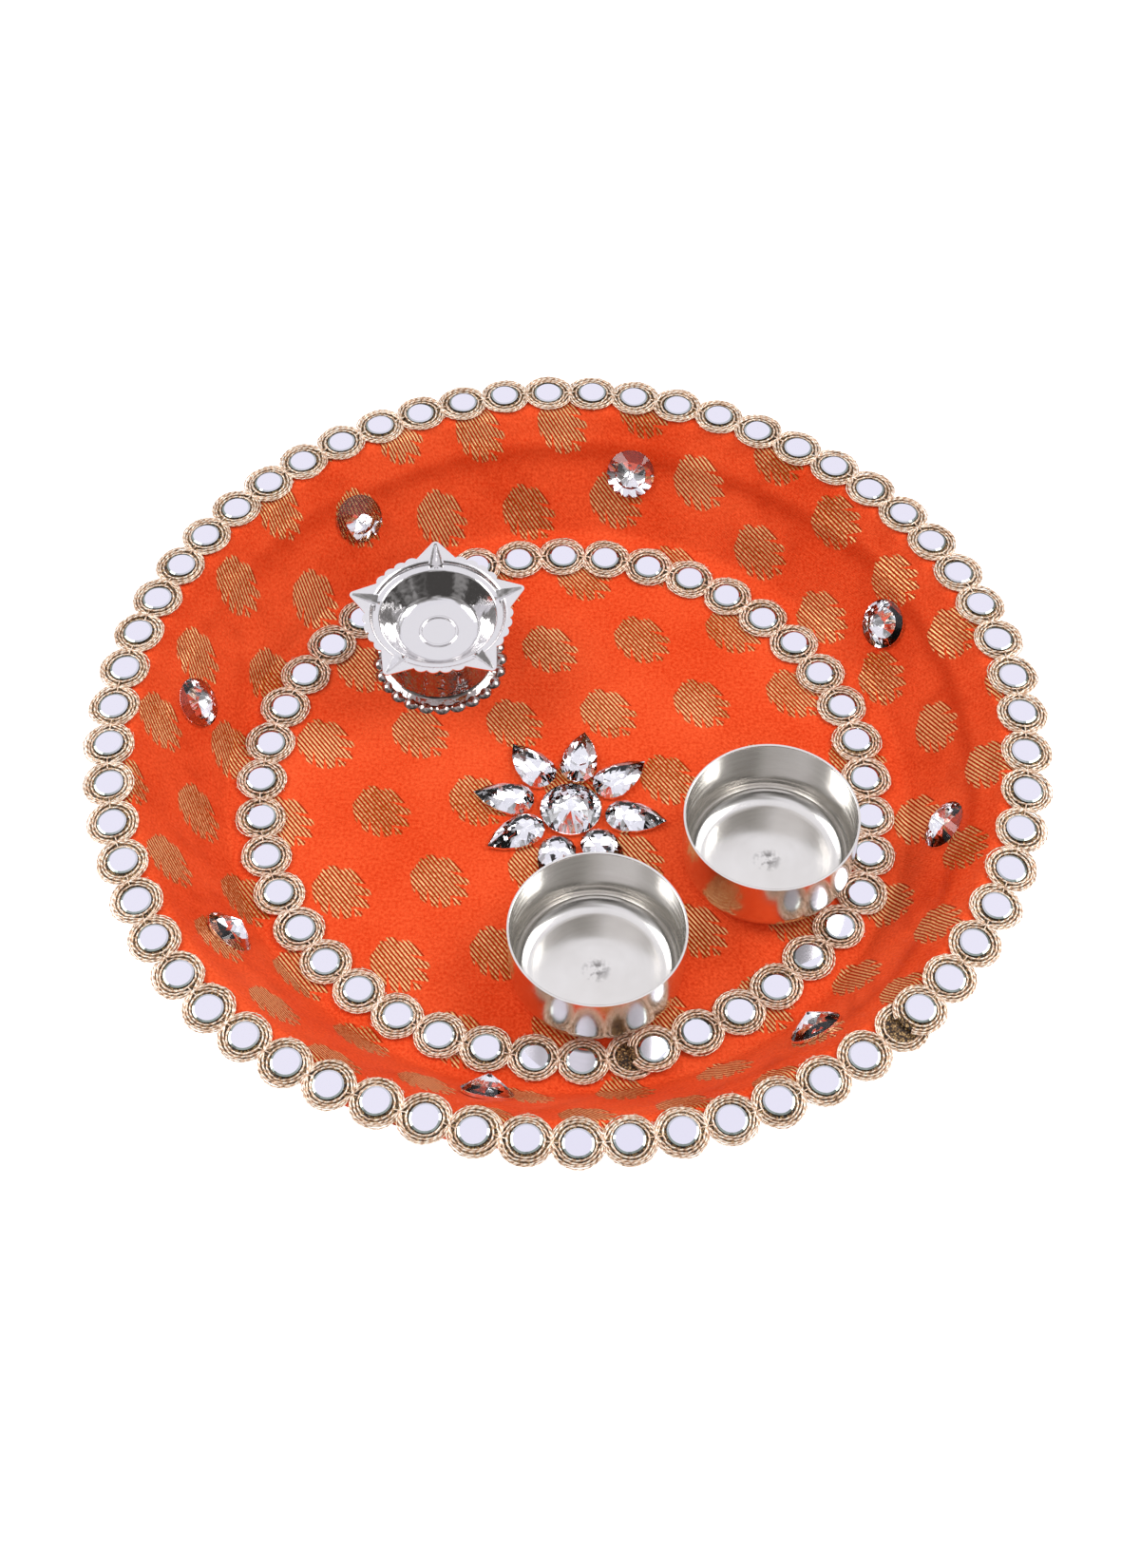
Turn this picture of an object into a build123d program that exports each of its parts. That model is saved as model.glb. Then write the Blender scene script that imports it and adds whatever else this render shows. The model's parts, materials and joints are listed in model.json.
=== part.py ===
from build123d import *
import math
import os

# Puja thali: a spun steel plate lined with brocade, trimmed with two rings of mirror lace,
# set with faceted stones, and carrying two loose katoris and a loose five-spout diya.
# Millimetres, +Z up, origin at the centre of the plate's underside.

# Plate and lining
PLATE_SHEET = 0.8
FLOOR_CLEARANCE = 1.0
WALL_RUN = 26.5
RIM_WIDTH = 14.0
PLATE_DEPTH = 32.6
RIM_DROOP = 5.0
FLOOR_CORNER = 4.0
RIM_CORNER = 4.0
LINING = 0.5

# Mirror lace, the same braid in both rings
LACE_PITCH = 14.95
LACE_TAPE = 0.7
LACE_CORD = 1.2
CORD_NEST = 0.1
LACE_NECK = 0.12
MIRROR_RADIUS = 4.7
MIRROR_THICKNESS = 1.2
MIRROR_BEVEL = 0.4
MIRROR_PLAY = 0.25
MIRROR_DRIFT = 0.2
DRIFT_TURN = 137.5

# Where each ring of lace is laid, with the places where it was laid off its circle
RIM_LACE_START = -46.7
RIM_LACE_NUDGES = ((-141.0, 1.6), (-109.0, -1.9), (58.0, -1.3), (92.0, 0.9))
BASE_LACE_START = -77.6
BASE_LACE_SHIFT = -1.1
NUDGE_SPREAD = 12.0
STEP_ROUNDS = 4
BAND_REACH = 3.0

# Katoris, set down outside the flower of stones, with the base lace bulging out behind them
KATORI_RADIUS = 27.6
KATORI_HEIGHT = 25.5
KATORI_WALL = 0.8
KATORI_CORNER = 7.5
KATORI_FLARE = 0.5
KATORI_LIP = 0.3
KATORIS = {"katori_front": (-81.0, 1.8), "katori_right": (-21.5, 3.6)}
STAND_GAP = 0.3
FLOWER_MARGIN = 8.3

# Diya: a pressed bowl with five spouts on a pressed foot
DIYA_AZIMUTH = 128.3
DIYA_TURN = 3.6
DIYA_HEIGHT = 26.0
DIYA_SHEET = 0.5
SPOUTS = 5
SPOUT_LENGTH = 7.2
SPOUT_HALF_WIDTH = 6.4
SPOUT_TIP = 1.5
FLANGE_WIDTH = 1.5
SCALLOPS_PER_SIDE = 4
SCALLOP_RADIUS = 2.5
SCALLOP_RISE = 0.9
BOWL_LEDGE = 19.8
LEDGE_WIDTH = 2.6
LEDGE_DROP = 1.6
BOWL_SLOPE = 6.8
BOWL_DEPTH = 10.0
BOWL_CORNER = 5.0
PRESS_CORNER = 1.0
GROOVE_HALF_WIDTH = 2.3
GROOVE_DEPTH = 2.0
GROOVE_TIP = 0.5
GROOVE_TIP_DEPTH = 0.4
GROOVE_INSET = 1.2
GROOVE_MARGIN = 1.8
GROOVE_LEAD = 1.1
GROOVE_SEAT = 0.2
JOINT_RING = 6.0
JOINT_BEAD = 0.6
FOOT_TOP = 10.0
FOOT_SKIRT = 17.4
SKIRT_DROP = 2.2
FOOT_CORNER = 2.0
FOOT_LOBES = 24
LOBE_OFFSET = 2.2
LOBE_RADIUS = 3.6
LOBE_SINK = 2.2

# Faceted stones, glued on: round ones on the wall, a flower of pear stones on the floor
GLUE = 0.6
GLUE_SHARE = 0.7
STONE_GIRDLE = 1.2
ROUND_FACETS = 12
KITE_REACH = 0.58
WALL_STONE_RADIUS = 8.2
WALL_STONE_HEIGHT = 6.4
WALL_STONES = (
    (125.7, 22.0),
    (80.4, 22.0),
    (29.8, 17.5),
    (-10.1, 18.5),
    (-51.9, 20.0),
    (-101.1, 15.5),
    (-148.1, 19.5),
    (169.4, 20.5),
)
FLOWER_PLACE = (1.1, -7.4)
FLOWER_CENTRE_RADIUS = 9.9
FLOWER_CENTRE_HEIGHT = 7.0
PETAL_LENGTH = 20.0
PETAL_WIDTH = 12.0
PETAL_HEIGHT = 5.2
PETAL_TABLE = 0.5
PETAL_ARC_STEPS = 6
PETAL_SIDE_STEPS = 3
PETAL_GAP = 0.4
PETALS = (
    (127.0, 1.6),
    (82.0, 0.5),
    (38.5, 0.3),
    (-8.0, 0.9),
    (-56.0, 0.0),
    (-104.0, 0.6),
    (-151.0, 0.0),
    (168.5, 1.9),
)

FLOOR_TOP = PLATE_SHEET + LINING
MOTIF_RADIUS = LACE_PITCH / 2 + LACE_NECK
INNER_CORD = MIRROR_RADIUS + MIRROR_PLAY + LACE_CORD / 2
OUTER_CORD = INNER_CORD + LACE_CORD - CORD_NEST
CORD_LIFT = LACE_CORD / 4

# The plate is as large as what it carries: flower, katoris, lace, wall and rim
FLOWER_REACH = FLOWER_CENTRE_RADIUS + PETAL_GAP + PETAL_LENGTH
KATORI_REACH = FLOWER_REACH + FLOWER_MARGIN + KATORI_RADIUS
CORNER_APART = KATORI_CORNER + LACE_CORD / 2 + STAND_GAP
CORNER_RUN = math.sqrt(CORNER_APART**2 - (KATORI_CORNER - LACE_TAPE - CORD_LIFT) ** 2)
BASE_LACE_RADIUS = KATORI_REACH + KATORI_RADIUS - KATORI_CORNER + CORNER_RUN + OUTER_CORD
LACE_BULGE = max(bulge for _, bulge in KATORIS.values())
FLOOR_RADIUS = BASE_LACE_RADIUS + MOTIF_RADIUS + LACE_BULGE + FLOOR_CLEARANCE
RIM_RADIUS = FLOOR_RADIUS + WALL_RUN
PLATE_RADIUS = RIM_RADIUS + RIM_WIDTH
RIM_LACE_RADIUS = RIM_RADIUS + RIM_WIDTH / 2
BOWL_OPENING = BOWL_LEDGE + LEDGE_WIDTH
BOWL_FLOOR = BOWL_LEDGE - BOWL_SLOPE
FLANGE_RADIUS = BOWL_OPENING + FLANGE_WIDTH
SPOUT_REACH = FLANGE_RADIUS + SPOUT_LENGTH
GROOVE_START = BOWL_LEDGE + GROOVE_INSET
GROOVE_END = SPOUT_REACH - GROOVE_MARGIN
LOBE_RING = FOOT_SKIRT + LOBE_OFFSET
PLATE_LINE = (
    (0.0, PLATE_SHEET),
    (FLOOR_RADIUS, PLATE_SHEET),
    (RIM_RADIUS, PLATE_SHEET + PLATE_DEPTH),
    (
        PLATE_RADIUS,
        PLATE_SHEET + PLATE_DEPTH - (PLATE_RADIUS - RIM_RADIUS) * math.tan(math.radians(RIM_DROOP)),
    ),
)


def parallel_line(points, offset):
    """Corner points of the line that runs beside a polyline, offset to its left."""
    corners = [Vector(*point) for point in points]
    directions = [(after - before).normalized() for before, after in zip(corners, corners[1:])]
    normals = [Vector(-direction.Y, direction.X) for direction in directions]
    shifted = [corners[0] + normals[0] * offset]
    for corner, before, after in zip(corners[1:-1], normals, normals[1:]):
        shifted.append(corner + (before + after) * (offset / (1 + before.dot(after))))
    shifted.append(corners[-1] + normals[-1] * offset)
    return shifted


def turns_left(before, corner, after):
    """True where a polyline bends to its left."""
    return (corner - before).cross(after - corner).Z > 0


def spun_sheet(points, radii, low, high):
    """Sheet spun about Z, between two lines parallel to a polyline with rounded corners."""
    sides = []
    for offset in (low, high):
        corners = parallel_line(points, offset)
        rounds = []
        for place, radius in enumerate(radii):
            inward = turns_left(*corners[place:place + 3])
            rounds.append(radius - offset if inward else radius + offset)
        sides.append(FilletPolyline(*corners, radius=rounds))
    under, over = sides
    ends = [Line(under @ 0, over @ 0), Line(under @ 1, over @ 1)]
    section = make_face(under.edges() + over.edges() + ends)
    return revolve(Plane.XZ * section, Axis.Z)


def polar(radius, angle, height=0.0):
    """Point at a radius and an angle in degrees."""
    return Vector(
        radius * math.cos(math.radians(angle)),
        radius * math.sin(math.radians(angle)),
        height,
    )


def make_plate():
    """Spun steel plate: flat floor, sloping wall and a rim that droops outward."""
    return spun_sheet(PLATE_LINE, (FLOOR_CORNER, RIM_CORNER), -PLATE_SHEET, 0.0)


def make_lining():
    """Brocade glued over the whole upper face of the plate."""
    return spun_sheet(PLATE_LINE, (FLOOR_CORNER, RIM_CORNER), 0.0, LINING)


def lining_height(radius):
    """Height of the lining's upper face on the rim."""
    inner, outer = parallel_line(PLATE_LINE, LINING)[2:]
    return inner.Y + (radius - inner.X) * (outer.Y - inner.Y) / (outer.X - inner.X)


def floor_height(radius):
    """Height of the lining's upper face on the floor, the same at every radius."""
    return FLOOR_TOP


def laid_radius(radius, nudges, angle):
    """Radius of a hand-laid ring of lace at an angle."""
    for place, offset in nudges:
        away = (angle - place + 180.0) % 360.0 - 180.0
        radius += offset * math.exp(-((away / NUDGE_SPREAD) ** 2))
    return radius


def lace_places(radius, nudges, start):
    """Angle and radius of each motif, clockwise, until the braid's end covers its start."""
    places = [(start, laid_radius(radius, nudges, start))]
    while True:
        angle, here = places[-1]
        step = math.degrees(LACE_PITCH / here)
        for _ in range(STEP_ROUNDS):
            there = laid_radius(radius, nudges, angle - step)
            along = math.sqrt(LACE_PITCH**2 - (there - here) ** 2)
            step = math.degrees(along / ((there + here) / 2))
        if start - (angle - step) >= 360.0:
            return places
        places.append((angle - step, there))


def lace_tape(places, shift, height, droop):
    """Scalloped tape under a ring of motifs, lying on a floor or a drooping rim."""
    disc = Circle(MOTIF_RADIUS)
    discs = [Pos(*polar(reach, angle)) * disc for angle, reach in places]
    outline = Pos(shift, 0) * (discs[0] + discs[1:])
    middle = places[0][1]
    half_width = BAND_REACH * MOTIF_RADIUS
    fall = half_width * math.tan(math.radians(droop))
    thick = LACE_TAPE / math.cos(math.radians(droop))
    section = Polyline(
        (middle - half_width, height + fall),
        (middle + half_width, height - fall),
        (middle + half_width, height - fall + thick),
        (middle - half_width, height + fall + thick),
        close=True,
    )
    band = revolve(Plane.XZ * make_face(section), Axis.Z)
    reach = 2 * fall + thick
    return Pos(0, 0, height - reach) * extrude(outline, 2 * reach) & band


def lace_cords():
    """Two rounds of cord about one mirror's place, flat below where they lie on the tape."""
    cord = Circle(LACE_CORD / 2)
    rounds = Pos(INNER_CORD, CORD_LIFT) * cord + Pos(OUTER_CORD, CORD_LIFT) * cord
    above = Pos(OUTER_CORD, LACE_CORD) * Rectangle(4 * LACE_CORD, 2 * LACE_CORD)
    return revolve(Plane.XZ * (rounds & above), Axis.Z)


def lace_mirror():
    """Round mirror with a polished bevel."""
    disc = Cylinder(MIRROR_RADIUS, MIRROR_THICKNESS, align=(Align.CENTER, Align.CENTER, Align.MIN))
    return chamfer(disc.edges().group_by(Axis.Z)[-1], MIRROR_BEVEL)


def motif_location(centre, angle, droop):
    """Frame on a motif's tape: X outward down the rim, Z away from the lining."""
    slope = math.radians(droop)
    outward = polar(math.cos(slope), angle, -math.sin(slope))
    normal = polar(math.sin(slope), angle, math.cos(slope))
    return Plane(origin=centre + normal * LACE_TAPE, x_dir=outward, z_dir=normal).location


def make_lace(radius, nudges, start, shift, droop, height_at):
    """Ring of mirror lace: its tape, its rounds of cord and its mirrors.

    The braid's last motif is lapped over its first, which shows only as tape.
    """
    places = lace_places(radius, nudges, start)
    tape = lace_tape(places, shift, height_at(places[0][1]), droop)
    cords = lace_cords()
    mirror = lace_mirror()
    rounds = []
    mirrors = []
    for number, (angle, reach) in enumerate(places[1:]):
        centre = polar(reach, angle, height_at(reach)) + Vector(shift, 0)
        location = motif_location(centre, angle, droop)
        drift = polar(MIRROR_DRIFT, number * DRIFT_TURN)
        rounds.append(location * cords)
        mirrors.append(location * Pos(*drift) * mirror)
    return tape, Compound(rounds), Compound(mirrors)


def round_stone(radius, height):
    """Round stone with a flat back, a girdle and kite facets that meet in a point."""
    points = [(0.0, 0.0, height)]
    half = 180.0 / ROUND_FACETS
    kite = radius * KITE_REACH
    kite_height = height - (height - STONE_GIRDLE) * kite * math.cos(math.radians(half)) / radius
    for number in range(ROUND_FACETS):
        turn = 2 * half * number
        points.append(polar(kite, turn + half, kite_height))
        for side in (turn, turn + half):
            points.append(polar(radius, side, 0.0))
            points.append(polar(radius, side, STONE_GIRDLE))
    return ConvexPolyhedron(points)


def pear_outline(scale, height):
    """Points of a pear shape about its round end, with bulging sides and its tip along +X."""
    blunt = PETAL_WIDTH / 2
    tip = PETAL_LENGTH - blunt
    side = (tip**2 + blunt**2) / (2 * blunt)
    spread = math.degrees(math.asin(tip / side))
    outline = [Vector(tip, 0.0)]
    for number in range(1, PETAL_SIDE_STEPS):
        turn = 90.0 - spread * (1 - number / PETAL_SIDE_STEPS)
        outline.append(polar(side, turn) + Vector(0.0, blunt - side))
    for number in range(PETAL_ARC_STEPS + 1):
        outline.append(polar(blunt, 90.0 + 180.0 * number / PETAL_ARC_STEPS))
    for number in range(1, PETAL_SIDE_STEPS):
        turn = spread * number / PETAL_SIDE_STEPS - 90.0
        outline.append(polar(side, turn) + Vector(0.0, side - blunt))
    return [point * scale + Vector(0.0, 0.0, height) for point in outline]


def pear_stone():
    """Pear stone with a flat back, a girdle and a faceted crown up to a flat table."""
    back = pear_outline(1.0, 0.0)
    girdle = pear_outline(1.0, STONE_GIRDLE)
    table = pear_outline(PETAL_TABLE, PETAL_HEIGHT)
    return ConvexPolyhedron(back + girdle + table[::2])


def wall_location(angle, climb, lift):
    """Frame on the lining's wall, climb millimetres up the slope, Z into the plate."""
    foot, top = [Vector(corner.X, 0, corner.Y) for corner in parallel_line(PLATE_LINE, LINING)[1:3]]
    slope = (top - foot).normalized()
    normal = Vector(-slope.Z, 0, slope.X)
    plane = Plane(origin=foot + slope * climb + normal * lift, x_dir=(0, 1, 0), z_dir=normal)
    return Rot(0, 0, angle) * plane.location


def make_wall_stones(lining):
    """Round stones along the wall, and the beds of glue that hold them to the lining."""
    stone = round_stone(WALL_STONE_RADIUS, WALL_STONE_HEIGHT)
    depth = GLUE + LINING / 2
    bed = Cylinder(
        WALL_STONE_RADIUS * GLUE_SHARE, depth, align=(Align.CENTER, Align.CENTER, Align.MAX)
    )
    locations = [wall_location(angle, climb, GLUE) for angle, climb in WALL_STONES]
    stones = [location * stone for location in locations]
    glue = [(location * bed - lining).solid() for location in locations]
    return stones, Compound(glue)


def make_flower():
    """Flower of stones on the floor: a round centre, pear petals and their beds of glue."""
    place = Pos(*FLOWER_PLACE, FLOOR_TOP)
    lifted = place * Pos(0, 0, GLUE)
    centre = lifted * round_stone(FLOWER_CENTRE_RADIUS, FLOWER_CENTRE_HEIGHT)
    petal = pear_stone()
    blunt = PETAL_WIDTH / 2
    reach = FLOWER_CENTRE_RADIUS + PETAL_GAP + blunt
    bottom = (Align.CENTER, Align.CENTER, Align.MIN)
    beds = [place * Cylinder(FLOWER_CENTRE_RADIUS * GLUE_SHARE, GLUE, align=bottom)]
    petals = []
    for angle, offset in PETALS:
        turned = Rot(0, 0, angle) * Pos(reach + offset, 0, 0)
        petals.append(lifted * turned * petal)
        beds.append(place * turned * Cylinder(blunt * GLUE_SHARE, GLUE, align=bottom))
    return centre, petals, Compound([bed.solid() for bed in beds])


def make_katori():
    """Small steel cup: flat base, rounded corner and a wall that flares slightly."""
    line = ((0, 0), (KATORI_RADIUS - KATORI_FLARE, 0), (KATORI_RADIUS, KATORI_HEIGHT))
    cup = spun_sheet(line, (KATORI_CORNER,), 0.0, KATORI_WALL)
    return fillet(cup.edges().group_by(Axis.Z)[-1], KATORI_LIP)


def katori_nudges():
    """Bulges of the base lace behind the katoris, as angle and offset."""
    return tuple(KATORIS.values())


def katori_location(azimuth, bulge):
    """Place of a katori, its rounded corner just clear of the lace's outer round of cord."""
    place = polar(KATORI_REACH + bulge, azimuth, FLOOR_TOP)
    return Pos(*(place + Vector(BASE_LACE_SHIFT, 0)))


def flange_outline():
    """Flat outline of the diya's flange: scalloped edge with a pointed spout at each fifth."""
    outline = Circle(FLANGE_RADIUS)
    sector = 360.0 / SPOUTS
    spout_angle = math.degrees(math.asin(SPOUT_HALF_WIDTH / FLANGE_RADIUS))
    step = (sector - 2 * spout_angle) / SCALLOPS_PER_SIDE
    base = math.sqrt(FLANGE_RADIUS**2 - SPOUT_HALF_WIDTH**2)
    spout = make_face(
        Polyline(
            (0, 0),
            (base, SPOUT_HALF_WIDTH),
            (SPOUT_REACH, 0),
            (base, -SPOUT_HALF_WIDTH),
            close=True,
        )
    )
    spout = fillet(spout.vertices().sort_by(Axis.X)[-1], SPOUT_TIP)
    scallop = Pos(FLANGE_RADIUS + SCALLOP_RISE - SCALLOP_RADIUS, 0) * Circle(SCALLOP_RADIUS)
    pieces = []
    for number in range(SPOUTS):
        pieces.append(Rot(0, 0, sector * number) * spout)
        for tooth in range(SCALLOPS_PER_SIDE):
            turn = sector * number + spout_angle + step * (tooth + 0.5)
            pieces.append(Rot(0, 0, turn) * scallop)
    return outline + pieces


def vee_bar(start, end, half_widths, depths, top, rise):
    """Bar of V section along +X, its flanks carried up to a rise above the top plane."""
    points = []
    for reach, half, depth in zip((start, end), half_widths, depths):
        spread = half * (depth + rise) / depth
        points += [(reach, -spread, top + rise), (reach, spread, top + rise), (reach, 0, top - depth)]
    return ConvexPolyhedron(points)


def wick_groove():
    """Trough pinched into a spout along +X, and the channel that opens it to the bowl."""
    top = BOWL_DEPTH + DIYA_SHEET
    run = GROOVE_END - GROOVE_START
    widening = (GROOVE_HALF_WIDTH - GROOVE_TIP) / run * GROOVE_LEAD
    deepening = (GROOVE_DEPTH - GROOVE_TIP_DEPTH) / run * GROOVE_LEAD
    trough = vee_bar(
        GROOVE_START,
        GROOVE_END + DIYA_SHEET,
        (GROOVE_HALF_WIDTH + DIYA_SHEET, GROOVE_TIP + DIYA_SHEET),
        (GROOVE_DEPTH + DIYA_SHEET, GROOVE_TIP_DEPTH + DIYA_SHEET),
        top,
        -GROOVE_SEAT,
    )
    channel = vee_bar(
        GROOVE_START - GROOVE_LEAD,
        GROOVE_END,
        (GROOVE_HALF_WIDTH + widening, GROOVE_TIP),
        (GROOVE_DEPTH + deepening, GROOVE_TIP_DEPTH),
        top,
        DIYA_SHEET,
    )
    return trough, channel


def make_diya_bowl():
    """Pressed bowl of the diya, standing on z = 0: ledged bowl, star flange, wick grooves."""
    line = (
        (0, 0),
        (BOWL_FLOOR, 0),
        (BOWL_LEDGE, BOWL_DEPTH - LEDGE_DROP),
        (BOWL_OPENING - DIYA_SHEET, BOWL_DEPTH - LEDGE_DROP),
        (BOWL_OPENING, BOWL_DEPTH),
        (FLANGE_RADIUS - DIYA_SHEET, BOWL_DEPTH),
    )
    corners = (BOWL_CORNER, PRESS_CORNER, PRESS_CORNER, PRESS_CORNER)
    bowl = spun_sheet(line, corners, 0.0, DIYA_SHEET)
    ring = flange_outline() - Circle(BOWL_OPENING + DIYA_SHEET)
    bowl += Pos(0, 0, BOWL_DEPTH) * extrude(ring, DIYA_SHEET)
    bead = Pos(0, 0, DIYA_SHEET) * Torus(JOINT_RING, JOINT_BEAD)
    bowl += bead - Pos(0, 0, DIYA_SHEET) * Cylinder(
        JOINT_RING + 2 * JOINT_BEAD, JOINT_BEAD, align=(Align.CENTER, Align.CENTER, Align.MAX)
    )
    for number in range(SPOUTS):
        turn = Rot(0, 0, 360.0 / SPOUTS * number)
        trough, channel = wick_groove()
        bowl = bowl + turn * trough
        bowl = bowl - turn * channel
    return bowl


def make_diya_foot():
    """Pressed foot of the diya: hollow bell on a ring of rounded lobes."""
    height = DIYA_HEIGHT - BOWL_DEPTH - DIYA_SHEET
    line = (
        (0, height),
        (FOOT_TOP, height),
        (FOOT_SKIRT, SKIRT_DROP),
        (LOBE_RING, SKIRT_DROP / 2),
    )
    bell = spun_sheet(line, (FOOT_CORNER, FOOT_CORNER), -DIYA_SHEET, 0.0)
    bottom = (Align.CENTER, Align.CENTER, Align.MIN)
    ring = Cylinder(LOBE_RING + DIYA_SHEET, SKIRT_DROP / 2, align=bottom)
    ring -= Cylinder(FOOT_SKIRT, SKIRT_DROP / 2, align=bottom)
    dome = Pos(LOBE_RING, 0, -LOBE_SINK) * Sphere(LOBE_RADIUS)
    dome -= Pos(LOBE_RING, 0, 0) * Cylinder(
        2 * LOBE_RADIUS, 2 * LOBE_RADIUS, align=(Align.CENTER, Align.CENTER, Align.MAX)
    )
    lobes = [Rot(0, 0, 360.0 / FOOT_LOBES * number) * dome for number in range(FOOT_LOBES)]
    return bell + ring + lobes


def diya_location():
    """Place of the diya, its lobed foot just clear of the base lace."""
    lobe_reach = LOBE_RING + math.sqrt(LOBE_RADIUS**2 - LOBE_SINK**2)
    reach = BASE_LACE_RADIUS - MOTIF_RADIUS - STAND_GAP - lobe_reach
    place = polar(reach, DIYA_AZIMUTH, FLOOR_TOP) + Vector(BASE_LACE_SHIFT, 0)
    return Pos(*place) * Rot(0, 0, 90.0 + DIYA_TURN)


def make_parts():
    """Every node of the thali by name."""
    lining = make_lining()
    parts = {"plate_base": make_plate(), "fabric_lining": lining}
    rim_lace = make_lace(
        RIM_LACE_RADIUS, RIM_LACE_NUDGES, RIM_LACE_START, 0.0, RIM_DROOP, lining_height
    )
    base_lace = make_lace(
        BASE_LACE_RADIUS, katori_nudges(), BASE_LACE_START, BASE_LACE_SHIFT, 0.0, floor_height
    )
    for ring, lace in (("rim", rim_lace), ("base", base_lace)):
        for piece, shape in zip(("tape", "cord", "mirrors"), lace):
            parts[f"{ring}_trim_{piece}"] = shape
    stones, parts["wall_stone_glue"] = make_wall_stones(lining)
    for number, stone in enumerate(stones, 1):
        parts[f"wall_stone_{number}"] = stone
    centre, petals, parts["flower_glue"] = make_flower()
    parts["flower_centre_stone"] = centre
    for number, petal in enumerate(petals, 1):
        parts[f"flower_petal_{number}"] = petal
    katori = make_katori()
    for name, (azimuth, bulge) in KATORIS.items():
        parts[name] = katori_location(azimuth, bulge) * katori
    diya = diya_location()
    foot_height = DIYA_HEIGHT - BOWL_DEPTH - DIYA_SHEET
    parts["diya_foot"] = diya * make_diya_foot()
    parts["diya_bowl"] = diya * Pos(0, 0, foot_height) * make_diya_bowl()
    return parts


os.makedirs("parts", exist_ok=True)
for node, shape in make_parts().items():
    export_step(shape, f"parts/{node}.step")
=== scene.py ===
"""Puja thali: steel plate lined with brocade, mirror lace, foiled stones, katoris and a diya."""

from __future__ import annotations

import json
import logging
import math
import random
from collections.abc import Iterator
from contextlib import contextmanager
from dataclasses import dataclass, replace
from enum import Enum

import bpy
from bpy.types import Material, Node, NodeSocket, NodeTree, Object
from mathutils import Matrix, Vector, noise

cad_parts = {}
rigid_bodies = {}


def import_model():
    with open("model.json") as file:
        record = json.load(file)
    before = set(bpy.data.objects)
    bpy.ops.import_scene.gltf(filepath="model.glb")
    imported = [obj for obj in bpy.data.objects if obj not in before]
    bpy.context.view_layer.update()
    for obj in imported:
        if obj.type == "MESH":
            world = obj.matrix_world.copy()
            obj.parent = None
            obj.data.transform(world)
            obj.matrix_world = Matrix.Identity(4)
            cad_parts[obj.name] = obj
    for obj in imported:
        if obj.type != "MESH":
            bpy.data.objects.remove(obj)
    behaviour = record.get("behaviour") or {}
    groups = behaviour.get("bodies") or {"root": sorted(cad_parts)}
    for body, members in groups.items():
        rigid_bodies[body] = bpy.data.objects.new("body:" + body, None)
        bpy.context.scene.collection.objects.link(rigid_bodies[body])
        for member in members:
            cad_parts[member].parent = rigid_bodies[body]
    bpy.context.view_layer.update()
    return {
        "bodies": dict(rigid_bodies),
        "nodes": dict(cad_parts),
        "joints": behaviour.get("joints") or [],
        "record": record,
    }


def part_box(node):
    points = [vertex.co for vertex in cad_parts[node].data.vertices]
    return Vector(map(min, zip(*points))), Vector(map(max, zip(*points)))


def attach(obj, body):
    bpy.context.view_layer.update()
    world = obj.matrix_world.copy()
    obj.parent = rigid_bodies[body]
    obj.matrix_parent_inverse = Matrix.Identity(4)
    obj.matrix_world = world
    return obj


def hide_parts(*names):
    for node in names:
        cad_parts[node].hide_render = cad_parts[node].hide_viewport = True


log = logging.getLogger("thali")
MM = 0.001
SEED = 7
PLATE_BODY = "plate"
FLAT_CUT = "flat_cut"
CORD_RUN = "cord_run"
PAINTED_FOLD_SHADE = "crease"
WHITE = (1.0, 1.0, 1.0, 1.0)
# Half the repeat of the wave texture's diagonal bands along an axis, at a scale of 1
WAVE_HALF = 0.314


class Slot(Enum):
    """Material slots of the record."""

    STEEL = "plate_steel"
    BROCADE = "brocade"
    NET = "lace_mesh"
    CORD = "zari_cord"
    MIRROR = "lace_mirror"
    GLUE = "clear_glue"


def linear(code: str) -> tuple[float, float, float, float]:
    """Turn an sRGB hex colour into linear values.

    Args:
        code: Colour such as "#F0401A".

    Returns:
        Red, green, blue and alpha.
    """
    parts = [int(code[place:place + 2], 16) / 255 for place in (1, 3, 5)]
    bent = [part / 12.92 if part <= 0.04045 else ((part + 0.055) / 1.055) ** 2.4 for part in parts]
    return (*bent, 1.0)


def per_metre(size_mm: float) -> float:
    """Scale of a pattern from its real size in millimetres."""
    return 1 / (size_mm * MM)


def feed(tree: NodeTree, node: Node, inputs: dict | list | tuple) -> None:
    """Set or link the inputs of a node.

    Args:
        tree: Node tree that holds the node.
        node: Node to feed.
        inputs: Values, sockets, or nodes that give their first output, in order or by name or number.
    """
    for place, value in inputs.items() if isinstance(inputs, dict) else enumerate(inputs):
        if isinstance(value, Node):
            value = value.outputs[0]
        if isinstance(value, NodeSocket):
            tree.links.new(value, node.inputs[place])
        else:
            node.inputs[place].default_value = value


def add(
    tree: NodeTree,
    kind: str,
    inputs: dict | list | tuple = (),
    stops: tuple[tuple[float, str], ...] = (),
    **settings,
) -> Node:
    """Add a node with its settings, colour stops and links.

    Args:
        tree: Node tree that gets the node.
        kind: Node type without its ShaderNode prefix.
        inputs: What feeds its inputs, as feed takes it.
        stops: Place and hex colour of each stop, for a colour ramp.
        **settings: Attributes of the node.

    Returns:
        The new node.
    """
    node = tree.nodes.new(f"ShaderNode{kind}")
    for name, value in settings.items():
        setattr(node, name, value)
    if stops:
        elements = node.color_ramp.elements
        while len(elements) < len(stops):
            elements.new(0.5)
        for element, (place, code) in zip(elements, stops):
            element.position = place
            element.color = linear(code)
    feed(tree, node, inputs)
    return node


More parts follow.
